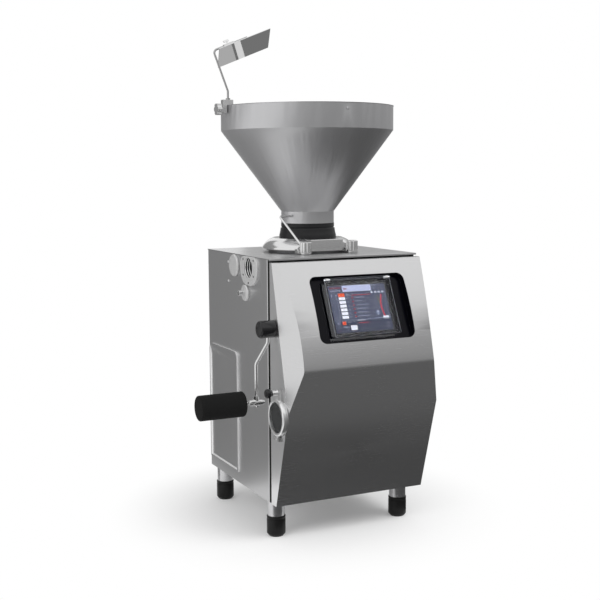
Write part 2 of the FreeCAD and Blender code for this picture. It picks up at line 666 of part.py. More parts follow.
# The front cover stands off the cabinet. Its face bulges above the bend line and slopes back below
# it, and a flat bevel takes off each side where the face stands furthest out.
def cover_solid(name, inset):
    """The cover's full form, or the same form set in by a sheet."""
    solid = body(name)
    back = f"({FRONT} - cover_gap)"
    low = f"({inset})"
    high = f"(cover_rise - {inset})"
    side = outline(solid, name + "_side", "YZ_Plane", [
        (f"{back} - {inset}", high), (f"{back} - {inset}", low),
        (f"{FRONT} - foot_depth + {inset}", low),
        (f"{FRONT} - kink_depth + {inset}", "kink_rise"),
        (f"{FRONT} - top_depth + {inset}", high, f"-(crown_r - {inset})"),
    ])
    feature(solid, "Pad", name + "_block", side, length=f"cab_w - 2 * {inset}", SideType="Symmetric")
    steep = "sqrt(1 + bevel_slope * bevel_slope + bevel_lean * bevel_lean)"
    for hand, sign in (("left", "-1"), ("right", "1")):
        ends = []
        for end, z in (("top", "cover_rise + 20"), ("foot", "-20")):
            flank = f"{FRONT} - bevel_depth - bevel_lean * (bevel_top - ({z})) + {inset} * {steep}"
            ends.append(outline(solid, f"{name}_{hand}_{end}", "XY_Plane", [
                (f"{sign} * (cab_w / 2 + 5)", f"{flank} + 5 * bevel_slope"),
                (f"{sign} * (cab_w / 2 - bevel_reach)", f"{flank} - bevel_reach * bevel_slope"),
                (f"{sign} * (cab_w / 2 + 5)", f"{flank} - bevel_reach * bevel_slope"),
            ], z))
        bevel = solid.newObject("PartDesign::SubtractiveLoft", f"{name}_{hand}_bevel")
        bevel.Profile = ends[0]
        bevel.Sections = [ends[1]]
        bevel.Ruled = True
        doc.recompute()
    bend = number("kink_rise")
    soften(solid, name + "_bend", "kink_r", lambda edge: len(edge.Vertexes) == 2
           and all(abs(corner.Z - bend) < 1 for corner in edge.Vertexes)
           and abs(edge.Vertexes[0].X - edge.Vertexes[1].X) > 100)
    return at(solid, z="leg_h")


def window_prism(name, grow, low, high):
    """A rounded block on the display's slope, from low to high along the display's own normal."""
    prism = body(name)
    half_w = f"(win_w / 2 + {grow})"
    half_h = f"(win_h / 2 + {grow})"
    plan = outline(prism, name + "_plan", "XY_Plane",
                   rectangle(f"-{half_w}", f"-{half_h}", half_w, half_h), low)
    feature(prism, "Pad", name + "_block", plan, length=f"{high} - ({low})")
    soften(prism, name + "_corners", f"win_r + {grow}", upright)
    return tilt(prism)


def tilt(piece, u="0", v="0", out="0"):
    """Puts a piece that was drawn flat on the display's slope: u right, v up the slope, out forward."""
    piece.Placement = Placement(Vector(), Rotation(Vector(1, 0, 0), 60))
    piece.setExpression("Placement.Rotation.Angle", link("90 - win_tilt"))
    return at(piece, f"win_x + ({u})",
              f"{FRONT} - win_back + ({v}) * sin(win_tilt) - ({out}) * cos(win_tilt)",
              f"win_z + ({v}) * cos(win_tilt) + ({out}) * sin(win_tilt)")


def front_cover():
    outer = cover_solid("cover_outside", "0")
    inner = cover_solid("cover_inside", "skin")
    back = middle_block("cover_back_opening", "cab_w - 2 * skin - 2 * flange", "skin * 4",
                        "cover_rise - 2 * skin - 2 * flange", "0", f"{FRONT} - cover_gap",
                        "leg_h + skin + flange")
    window = window_prism("cover_window", "0", "-tray_deep * 2", "tray_deep * 2")
    hub = rod("cover_hub_hole", "pivot_r + seat", "skin * 4", f"{LEFT} - skin", "hub_y", "hub_z", "X")
    pot = rod("cover_pot_hole", "pot_r + seat", "skin * 4", f"{LEFT} - skin", "glass_y", "glass_z", "X")
    node(cut("front_cover", outer, inner, back, window, hub, pot))

    ring = middle_block("frame_outer", "cab_w - 30", "cover_gap - seat", "cover_rise - 30", "0",
                        f"{FRONT} - cover_gap / 2", "leg_h + 15")
    opening = middle_block("frame_opening", "cab_w - 2 * skin - 2 * flange", "cover_gap * 2",
                           "cover_rise - 2 * skin - 2 * flange", "0", f"{FRONT} - cover_gap / 2",
                           "leg_h + skin + flange")
    node(cut("cover_frame", ring, opening))

    # The tray fills the window and ends flush with the cover's curved face
    blank = window_prism("tray_blank", "-seat", "-tray_deep - tray_wall", "tray_deep")
    hollow = window_prism("tray_hollow", "-tray_wall", "-tray_deep", "tray_deep * 2")
    node(overlap("display_tray", cut("tray_cut", blank, hollow), outer))

    panel = body("display_panel")
    plan = outline(panel, "panel_plan", "XY_Plane",
                   rectangle("-panel_w / 2", "-panel_h / 2", "panel_w / 2", "panel_h / 2"))
    feature(panel, "Pad", "panel_block", plan, length="panel_t")
    soften(panel, "panel_corners", "6", upright)
    node(tilt(panel, out="seat - tray_deep"))
    screen = doc.addObject("Part::Box", "display_screen")
    bind(screen, Length="screen_w", Width="screen_h", Height="screen_t")
    node(tilt(screen, "-screen_w / 2", "-screen_h / 2 - 3", "seat - tray_deep + panel_t"))


def flap():
    # The clips' posts stand on the tray floor, and their pins carry the flap's two knuckles
    posts = []
    for hand, sign in (("left", "-1"), ("right", "1")):
        centre = f"({sign} * clip_x)"
        post = doc.addObject("Part::Box", f"clip_post_{hand}")
        bind(post, Length="clip_w", Width="8", Height="tray_deep + 4 - seat")
        tilt(post, f"{centre} - clip_w / 2", "flap_v - 4", "seat - tray_deep")
        pin = rod(f"clip_pin_{hand}", "pin_r", "clip_w + 16", axis="X")
        at(pin, f"win_x + {centre} - clip_w / 2 - 8", f"{FRONT} - win_back + flap_v * sin(win_tilt)",
           "win_z + flap_v * cos(win_tilt)")
        posts.append(join(f"clip_{hand}", post, pin))
    node(group("flap_clips", *posts))

    sheet_body = body("flap_body")
    drop = "(flap_h - 8)"
    plan = outline(sheet_body, "flap_plan", "XY_Plane",
                   rectangle("-flap_w / 2", f"-{drop}", "flap_w / 2", "6"), "-flap_t / 2")
    feature(sheet_body, "Pad", "flap_sheet", plan, length="flap_t")
    soften(sheet_body, "flap_corners", "4", upright)
    tilt(sheet_body, v="flap_v")
    bore = rod("flap_bore", "pin_r + run", "flap_w + 20", axis="X")
    at(bore, "win_x - flap_w / 2 - 10", f"{FRONT} - win_back + flap_v * sin(win_tilt)",
       "win_z + flap_v * cos(win_tilt)")
    knuckles = []
    gaps = []
    for hand, sign in (("left", "-1"), ("right", "1")):
        knuckle = rod(f"flap_knuckle_{hand}", "4", "clip_w + 16", axis="X")
        at(knuckle, f"win_x + {sign} * clip_x - clip_w / 2 - 8",
           f"{FRONT} - win_back + flap_v * sin(win_tilt)", "win_z + flap_v * cos(win_tilt)")
        knuckles.append(knuckle)
        gap = rod(f"flap_gap_{hand}", "7.5", "clip_w + 2", axis="X")
        at(gap, f"win_x + {sign} * clip_x - clip_w / 2 - 1",
           f"{FRONT} - win_back + flap_v * sin(win_tilt)", "win_z + flap_v * cos(win_tilt)")
        gaps.append(gap)
    node(cut("splash_flap", join("flap_whole", sheet_body, *knuckles), bore, *gaps))


def outlet_screws():
    """Places of the screw holes round the outlet: four at the corners and one below."""
    places = [(f"out_y + {side} * bolt_y / 2", f"out_z + {level} * bolt_z / 2")
              for side in (-1, 1) for level in (-1, 1)]
    return places + [("out_y", "out_z - out_r - 20")]


# Vane pump: the hopper base closes its chamber from above, and the outlet duct runs to the left wall
def pump():
    housing = rod("housing_drum", "pump_r", "pump_top - deck_z", z="deck_z")
    duct = block("housing_duct", "cab_w / 2 - wall + duct_in", "duct_w", "duct_h", f"{LEFT} + wall",
                 "out_y - duct_w / 2", "out_z - duct_low")
    chamber = rod("housing_chamber", "cell_r", "pump_top - cell_z + 1", "0", "-cell_off", "cell_z")
    outlet = rod("housing_outlet", "out_r", "cab_w / 2 + duct_in - 14", f"{LEFT} - 1", "out_y",
                 "out_z", "X")
    bearing_bore = rod("housing_bearing_bore", "bearing_r + run", "2 * bearing_h + 4", z="deck_z - 1")
    shaft_bore = rod("housing_shaft_bore", "shaft_r + 2", "80", z="deck_z - 10")
    groove = cut("housing_seal_groove",
                 rod("groove_outer", "seal_in + seal_w", "seal_t", z="pump_top - seal_t"),
                 rod("groove_inner", "seal_in", "seal_t * 2", z="pump_top - seal_t * 1.5"))
    suction = rod("housing_suction", "pipe_r - 3", "80", "-100", "-90", "deck_z - 1")
    whole = join("housing_whole", housing, duct)
    screw_bore = rod("housing_screw_bore", "bolt_rad + 2", "40", "-screw_x", "screw_y", "ear_z - 14")
    threads = [rod(f"housing_thread_{index}", "bolt_r", "24", f"{LEFT} + wall - 1", y, z, "X")
               for index, (y, z) in enumerate(outlet_screws())]
    node(cut("pump_housing", whole, chamber, outlet, bearing_bore, shaft_bore, groove, suction,
             screw_bore, *threads))
    seal_outer = rod("seal_outer", "seal_in + seal_w - run", "seal_t - run", z="pump_top - seal_t")
    seal_inner = rod("seal_inner", "seal_in + run", "seal_t * 2", z="pump_top - seal_t * 1.5")
    node(cut("lid_seal", seal_outer, seal_inner))

    rings = []
    for tag, z in (("low", "deck_z + seat"), ("high", "deck_z + 2 * seat + bearing_h")):
        outer = rod(f"bearing_{tag}_outer", "bearing_r", "bearing_h", z=z)
        inner = rod(f"bearing_{tag}_inner", "shaft_r + run", "bearing_h * 3", z="deck_z - 5")
        rings.append(cut(f"bearing_{tag}", outer, inner))
    node(group("shaft_bearings", *rings))

    rotor = body("pump_rotor")
    disc = circles(rotor, "rotor_plan", "XY_Plane", [("0", "0", "rotor_r")])
    feature(rotor, "Pad", "rotor_disc", disc, length="rotor_h")
    slot_plan = outline(rotor, "rotor_slot_plan", "XY_Plane", rectangle(
        "rotor_r + vane_out - vane_w - 1", "-vane_t / 2 - run", "rotor_r + 5", "vane_t / 2 + run"))
    slot = feature(rotor, "Pocket", "rotor_slot", slot_plan, length="rotor_h + 1", Reversed=True)
    round_pattern(rotor, "rotor_slots", [slot], disc, "vanes")
    hub_section = [("0", "rotor_h"), ("46", "rotor_h"), ("42", "rotor_h + 12"), ("20", "rotor_h + 52"),
                   ("12", "rotor_h + 60"), ("0", "rotor_h + 62")]
    revolve(rotor, "rotor_nose", hub_section)
    # Two curved paddles draw the meat down into the vanes
    paddle_plan = outline(rotor, "paddle_plan", "XY_Plane", [
        ("14", "0"), ("60", "30", "60"), ("56", "38"), ("6", "10", "-66"),
    ], "rotor_h")
    paddle = feature(rotor, "Pad", "paddle", paddle_plan, length="44")
    round_pattern(rotor, "paddles", [paddle], disc, "2")
    node(at(rotor, z="cell_z + 2 * seat"))

    blades = []
    for index in range(int(number("vanes"))):
        blade = doc.addObject("Part::Box", f"vane_{index + 1}")
        bind(blade, Length="vane_w", Width="vane_t", Height="rotor_h - seat")
        blade.Placement = Placement(Vector(), Rotation(UP, 360 * index / number("vanes")))
        turn = f"({360 * index} / vanes)"
        inner = "(rotor_r + vane_out - vane_w)"
        blade.setExpression("Placement.Rotation.Angle", link(turn))
        at(blade, f"{inner} * cos({turn}) + vane_t / 2 * sin({turn})",
           f"{inner} * sin({turn}) - vane_t / 2 * cos({turn})", "cell_z + 2 * seat")
        blades.append(blade)
    node(group("rotor_vanes", *blades))
    node(rod("rotor_shaft", "shaft_r", "cell_z - pulley_z + 2 * seat + 4", z="pulley_z - 4"))


def toothed_pulley(name, radius, bore, teeth, x="0", y="0"):
    wheel = body(name)
    disc = circles(wheel, name + "_plan", "XY_Plane", [("0", "0", radius)])
    feature(wheel, "Pad", name + "_disc", disc, length="pulley_h")
    gap_plan = circles(wheel, name + "_gap_plan", "XY_Plane", [(f"{radius} + 1", "0", "3")])
    gap = feature(wheel, "Pocket", name + "_gap", gap_plan, length="pulley_h + 1", Reversed=True)
    round_pattern(wheel, name + "_gaps", [gap], disc, teeth)
    bore_plan = circles(wheel, name + "_bore_plan", "XY_Plane", [("0", "0", bore)])
    feature(wheel, "Pocket", name + "_bore", bore_plan, length="pulley_h + 1", Reversed=True)
    return at(wheel, x, y, "pulley_z")


# Belt drive: a servo motor hangs under the motor plate and turns the pump's shaft
def drive():
    node(toothed_pulley("rotor_pulley", "pulley_r", "shaft_r", "44"))
    pinion = toothed_pulley("motor_pinion", "pinion_r", "motor_shaft", "16", "0", "motor_y")
    shaft = rod("motor_shaft_end", "motor_shaft", "pulley_z + pulley_h - motor_z + 4", "0", "motor_y",
                "motor_z - 4")
    node(join("motor_pulley", pinion, shaft))

    def belt_form(name, grow, low, height):
        big, small = f"(pulley_r + {grow})", f"(pinion_r + {grow})"
        lean = "asin((pulley_r - pinion_r) / motor_y)"
        flat = body(name + "_flat")
        plan = outline(flat, name + "_plan", "XY_Plane", [
            (f"-{big} * cos({lean})", f"{big} * sin({lean})"),
            (f"{big} * cos({lean})", f"{big} * sin({lean})"),
            (f"{small} * cos({lean})", f"motor_y + {small} * sin({lean})"),
            (f"-{small} * cos({lean})", f"motor_y + {small} * sin({lean})"),
        ])
        feature(flat, "Pad", name + "_web", plan, length=height)
        at(flat, z=low)
        return join(name, flat, rod(name + "_big", big, height, z=low),
                    rod(name + "_small", small, height, "0", "motor_y", low))

    node(cut("drive_belt", belt_form("belt_outside", "seat + belt_t", "pulley_z + 3", "pulley_h - 6"),
             belt_form("belt_inside", "seat", "pulley_z", "pulley_h")))

    motor = body("drive_motor")
    square = outline(motor, "motor_plan", "XY_Plane",
                     rectangle("-motor_w / 2", "-motor_w / 2", "motor_w / 2", "motor_w / 2"))
    feature(motor, "Pad", "motor_block", square, length="motor_len")
    soften(motor, "motor_corners", "14", upright)
    flange = circles(motor, "motor_flange_plan", "XY_Plane", [("0", "0", "motor_w / 2 + 6")],
                     "motor_len - 12")
    feature(motor, "Pad", "motor_flange", flange, length="12")
    spigot = circles(motor, "motor_spigot_plan", "XY_Plane", [("0", "0", "55")], "motor_len")
    feature(motor, "Pad", "motor_spigot", spigot, length="plate - 2")
    bore = circles(motor, "motor_bore_plan", "XY_Plane", [("0", "0", "motor_shaft + run")],
                   "motor_len + plate - 2")
    feature(motor, "Pocket", "motor_bore", bore, length="20")
    cap_half = "motor_w / 2 - 12"
    cap = outline(motor, "motor_cap_plan", "XY_Plane",
                  rectangle(f"-({cap_half})", f"-({cap_half})", cap_half, cap_half))
    feature(motor, "Pad", "motor_cap", cap, length="34", Reversed=True)
    node(at(motor, "0", "motor_y", "motor_z - plate - motor_len"))


# Left wall: outlet flange, blanking cap, linking drive and studs
def left_fittings():
    flange = body("outlet_flange")
    plan = outline(flange, "flange_plan", "YZ_Plane", rectangle(
        "out_y - rim_w / 2", "out_z - rim_down", "out_y + rim_w / 2", "out_z + rim_up"), LEFT)
    feature(flange, "Pad", "flange_plate", plan, length="rim_t", Reversed=True)
    top = number("out_z")
    run = Vector(1, 0, 0)
    soften(flange, "flange_foot", "rim_w / 2 - 14",
           lambda edge: along(run, edge) and edge.Vertexes[0].Z < top)
    soften(flange, "flange_head", "rim_up - 8",
           lambda edge: along(run, edge) and edge.Vertexes[0].Z > top + number("rim_up") - 1)
    soften(flange, "flange_edge", "2", lambda edge: all(
        abs(corner.X - number(f"{LEFT} - rim_t")) < 0.01 for corner in edge.Vertexes))
    holes = [(y, z, "bolt_r") for y, z in outlet_screws()] + [("out_y", "out_z", "out_r")]
    hole_plan = circles(flange, "flange_hole_plan", "YZ_Plane", holes, f"{LEFT} - rim_t - 1")
    feature(flange, "Pocket", "flange_holes", hole_plan, length="rim_t + 2", Reversed=True)
    node(flange)

    cap = body("blanking_cap", "-X")
    revolve(cap, "blank_form", [
        ("0", "-wall - 6"), ("blank_r - 12 - seat", "-wall - 6"), ("blank_r - 12 - seat", "0"),
        ("blank_r", "0"), ("blank_r", "blank_t - 4"), ("blank_r - 4", "blank_t", "4"), ("0", "blank_t"),
    ])
    node(at(cap, LEFT, "blank_y", "blank_z"))

    boss = body("drive_boss", "-X")
    revolve(boss, "boss_form", [
        ("stub_r - 2 + run", "-50"), ("stub_r + 9", "-50"), ("stub_r + 9", "0"), ("boss_r", "0"),
        ("boss_r", "boss_t - 3"), ("boss_r - 3", "boss_t"), ("stub_r - 2 + run", "boss_t"),
    ])
    node(at(boss, LEFT, "boss_y", "boss_z"))
    axle = rod("stub_axle", "stub_r - 2", "boss_t + 75", f"{LEFT} + 70", "boss_y", "boss_z", "-X")
    end = rod("stub_end", "stub_r", "stub_out", f"{LEFT} - boss_t - part_gap", "boss_y", "boss_z", "-X")
    socket = rod("stub_socket", "stub_r - 4", "16", f"{LEFT} - boss_t - stub_out + 14",
                 "boss_y", "boss_z", "-X")
    node(cut("linking_stub", join("stub_whole", axle, end), socket))

    studs = []
    for tag, z in (("high", "stud_hi"), ("low", "stud_lo")):
        stud = body(f"stud_{tag}", "-X")
        revolve(stud, f"stud_{tag}_form", [
            ("0", "-8"), ("stud_r / 2", "-8"), ("stud_r / 2", "0"), ("stud_r", "0"), ("stud_r", "1"),
            ("stud_r - 2.5", "3.5", "2.5"), ("0", "3.5"),
        ])
        hole = rod(f"stud_{tag}_hole", "stud_r / 2 + run", "wall * 3", f"{LEFT} - wall", "stud_y", z, "X")
        studs.append((at(stud, LEFT, "stud_y", z), hole))
    side_studs = group("side_studs", *[stud for stud, hole in studs])
    walls = doc.getObject("cabinet_shell")
    walls.Tool.Shapes = walls.Tool.Shapes + [hole for stud, hole in studs]
    return side_studs


# Side hatch: a sheet pressed out from the wall, with a dished field that slopes in at the top
def hatch():
    cover = body("side_hatch")
    run = Vector(1, 0, 0)
    plan = outline(cover, "hatch_plan", "YZ_Plane",
                   rectangle("hatch_y0", "hatch_z0", "hatch_y1", "hatch_z1"), LEFT)
    feature(cover, "Pad", "hatch_sheet", plan, length="hatch_t", Reversed=True)
    top = number("hatch_z1") - 1
    soften(cover, "hatch_corners", "hatch_r", lambda edge: along(run, edge) and edge.Vertexes[0].Z > top)
    rim = outline(cover, "hatch_rim_plan", "YZ_Plane",
                  rectangle("hatch_y0 + 9", "hatch_z0 + 6", "hatch_y1 - 6", "hatch_z1 - 9"),
                  f"{LEFT} - hatch_t - 0.01")
    floor = outline(cover, "hatch_floor_plan", "YZ_Plane",
                    rectangle("hatch_y0 + 18", "hatch_z0 + 10", "hatch_y1 - 10", "hatch_z1 - 46"),
                    f"{LEFT} - 2")
    dish = cover.newObject("PartDesign::SubtractiveLoft", "hatch_dish")
    dish.Profile = rim
    dish.Sections = [floor]
    dish.Ruled = True
    doc.recompute()
    node(cover)


# Knee lever: hub on a pivot in the cover's flank, bent rod, cross clamp and foam roller
def knee_lever():
    pivot_in = rod("pivot_flange", "pivot_r + 8", "4", f"{LEFT} + skin + seat", "hub_y", "hub_z", "X")
    pivot_pin = rod("pivot_pin", "pivot_r", "hub_len - 12 + 20", f"{LEFT} + 20", "hub_y", "hub_z", "-X")
    node(join("lever_pivot", pivot_in, pivot_pin))

    hub = body("hub_form", "-X")
    revolve(hub, "hub_section", [
        ("pivot_r + run", "0"), ("hub_r - 2", "0"), ("hub_r", "2"), ("hub_r", "hub_len - 9"),
        ("hub_r - 9", "hub_len", "9"), ("hub_r - 14", "hub_len"), ("hub_r - 16", "hub_len - 2"),
        ("0", "hub_len - 2"), ("0", "hub_len - 10"), ("pivot_r + run", "hub_len - 10"),
    ])
    at(hub, f"{LEFT} - 2 * seat", "hub_y", "hub_z")
    socket = rod("hub_socket", "rod_r", "hub_r - pivot_r - 4", f"{LEFT} - rod_in", "hub_y",
                 "hub_z - hub_r - 2")
    node(cut("knee_hub", hub, socket))

    in_x, out_x = number(f"{LEFT} - rod_in"), number(f"{LEFT} - rod_out")
    y = number("hub_y")
    node(shape_node("knee_rod", bent_bar([
        (in_x, y, number("hub_z - pivot_r - 6")), (in_x, y, number("rod_bend_hi")),
        (out_x, y, number("rod_bend_lo")), (out_x, y, number("roll_z + spindle_r + 4")),
    ], number("rod_r"), number("rod_bend_r"))))

    sleeve = body("sleeve_form", "-X")
    revolve(sleeve, "sleeve_section", [("0", "0"), ("sleeve_r - 4", "0"), ("sleeve_r", "14"),
                                       ("sleeve_r", "sleeve_len"), ("0", "sleeve_len")])
    at(sleeve, f"{LEFT} - sleeve_in", "hub_y", "roll_z")
    boss = rod("sleeve_boss", "rod_r + 3", "sleeve_r + 12", f"{LEFT} - rod_out", "hub_y", "roll_z")
    foot = rod("sleeve_foot", "rod_r", "sleeve_r + 4", f"{LEFT} - rod_out", "hub_y",
               "roll_z - sleeve_r - 4")
    spindle_bore = rod("sleeve_bore", "spindle_r", "sleeve_len * 2", f"{LEFT} - sleeve_in + 10",
                       "hub_y", "roll_z", "-X")
    rod_bore = rod("sleeve_rod_bore", "rod_r", "60", f"{LEFT} - rod_out", "hub_y",
                   "roll_z + spindle_r + 4")
    grub_bore = rod("sleeve_grub_bore", "grub_r + run", "60", f"{LEFT} - rod_out", "hub_y", "roll_z", "Y")
    node(cut("cross_clamp", join("sleeve_whole", sleeve, boss, foot), spindle_bore, rod_bore, grub_bore))
    grub = rod("grub_shank", "grub_r", "24 - spindle_r - seat", f"{LEFT} - rod_out",
               "hub_y + spindle_r + seat", "roll_z", "Y")
    head = rod("grub_head", "grub_r * 2", "7", f"{LEFT} - rod_out", "hub_y + 20", "roll_z", "Y")
    wing = block("grub_wing", "3", "12", "26", f"{LEFT} - rod_out - 1.5", "hub_y + 24", "roll_z - 13")
    node(join("clamp_screw", grub, head, wing))

    spindle = rod("spindle_bar", "spindle_r", "roll_in - sleeve_in + roll_len - 1", f"{LEFT} - sleeve_in + 4",
                  "hub_y", "roll_z", "-X")
    collar = rod("spindle_collar", "spindle_r + 4", "6", f"{LEFT} - roll_in + 7", "hub_y", "roll_z", "-X")
    node(join("roller_spindle", spindle, collar))
    roller = body("knee_roller", "-X")
    revolve(roller, "roller_section", [
        ("spindle_r + run", "0"), ("roll_r - roll_edge", "0"), ("roll_r", "roll_edge", "roll_edge"),
        ("roll_r", "roll_len - roll_edge"), ("roll_r - roll_edge", "roll_len", "roll_edge"),
        ("0", "roll_len"), ("0", "roll_len - 4"), ("spindle_r + run", "roll_len - 4"),
    ])
    node(at(roller, f"{LEFT} - roll_in", "hub_y", "roll_z"))


# Sight glass of the vacuum separator, on the cover's flank
def sight_glass():
    pot = body("pot_form", "-X")
    revolve(pot, "pot_section", [
        ("0", "-pot_len"), ("pot_r", "-pot_len"), ("pot_r", "0"), ("ring_r - 3", "0"),
        ("ring_r - 3", "pot_rim"), ("pot_r - pot_wall", "pot_rim"), ("pot_r - pot_wall", "4 - pot_len"),
        ("0", "4 - pot_len"),
    ])
    at(pot, LEFT, "glass_y", "glass_z")
    knob_y = "(glass_y - knob_fwd)"
    strap = middle_block("pot_strap", "pot_rim", "20", "knob_up + 10 - pot_r", f"{LEFT} - pot_rim / 2",
                         knob_y, "glass_z + pot_r")
    lug_z = "glass_z - ring_hinge"
    plate = middle_block("pot_hinge_plate", "pot_rim", "44", "ring_hinge - pot_r + 8",
                         f"{LEFT} - pot_rim / 2", "glass_y", lug_z + " - 8")
    knuckles = []
    for tag, sign in (("front", "-1"), ("rear", "1")):
        knuckles.append(block(f"pot_knuckle_{tag}", "15", "10", "14", f"{LEFT} - pot_rim - 14",
                              f"glass_y + {sign} * 17 - 5", lug_z + " - 7"))
    pin_bore = rod("pot_pin_bore", "3", "60", f"{LEFT} - pot_rim - 7", "glass_y - 30", lug_z, "Y")
    whole = join("pot_whole", pot, strap, plate, *knuckles)
    node(cut("sight_glass_housing", whole, pin_bore))
    rod("glass_hinge_pin", "3", "44", f"{LEFT} - pot_rim - 7", "glass_y - 22", lug_z, "Y")

    ring = body("ring_form", "-X")
    revolve(ring, "ring_section", [
        ("pane_r + run", "0"), ("ring_r - 3", "0"), ("ring_r", "3", "3"), ("ring_r", "ring_t - ring_edge"),
        ("ring_r - ring_edge", "ring_t", "ring_edge"), ("view_r + 2", "ring_t"), ("view_r", "ring_t - 2"),
        ("view_r", "pane_t + run"), ("pane_r + run", "pane_t + run"),
    ])
    face = f"({LEFT} - pot_rim - 2 * seat)"
    at(ring, face, "glass_y", "glass_z")
    lug = block("ring_lug", "ring_t - 4", "18", "knob_up - ring_r + 14", f"{face} - ring_t + 4",
                f"{knob_y} - 9", "glass_z + ring_r - 4")
    boss = rod("ring_knob_boss", "10", "knob_out - pot_rim - 2 * seat - run", face, knob_y,
               "glass_z + knob_up", "-X")
    stem = rod("ring_stem_bore", "5 + run", "60", LEFT, knob_y, "glass_z + knob_up", "-X")
    hinge_bar = block("ring_hinge_bar", "8", "23", "ring_hinge - ring_r + 12", f"{face} - 10",
                      "glass_y - 11.5", lug_z)
    barrel = rod("ring_barrel", "6", "23", f"{LEFT} - pot_rim - 7", "glass_y - 11.5", lug_z, "Y")
    barrel_bore = rod("ring_barrel_bore", "3 + run", "60", f"{LEFT} - pot_rim - 7", "glass_y - 30",
                      lug_z, "Y")
    opening = rod("ring_opening", "pane_r + run", "pane_t", face, "glass_y", "glass_z", "-X")
    whole = join("ring_whole", ring, lug, boss, hinge_bar, barrel)
    node(cut("glass_ring", whole, stem, barrel_bore, opening))
    node(rod("glass_pane", "pane_r", "pane_t", face, "glass_y", "glass_z", "-X"))

    knob = body("sight_glass_knob", "-X")
    revolve(knob, "knob_section", [
        ("0", "-knob_out + pot_rim + 3 * seat"), ("5", "-knob_out + pot_rim + 3 * seat"), ("5", "0"),
        ("knob_r - 6", "0"), ("knob_r - 5", "5"), ("knob_r", "10"), ("knob_r", "knob_t - 6"),
        ("knob_r - 6", "knob_t", "6"), ("0", "knob_t"),
    ])
    node(at(knob, f"{LEFT} - knob_out", knob_y, "glass_z + knob_up"))


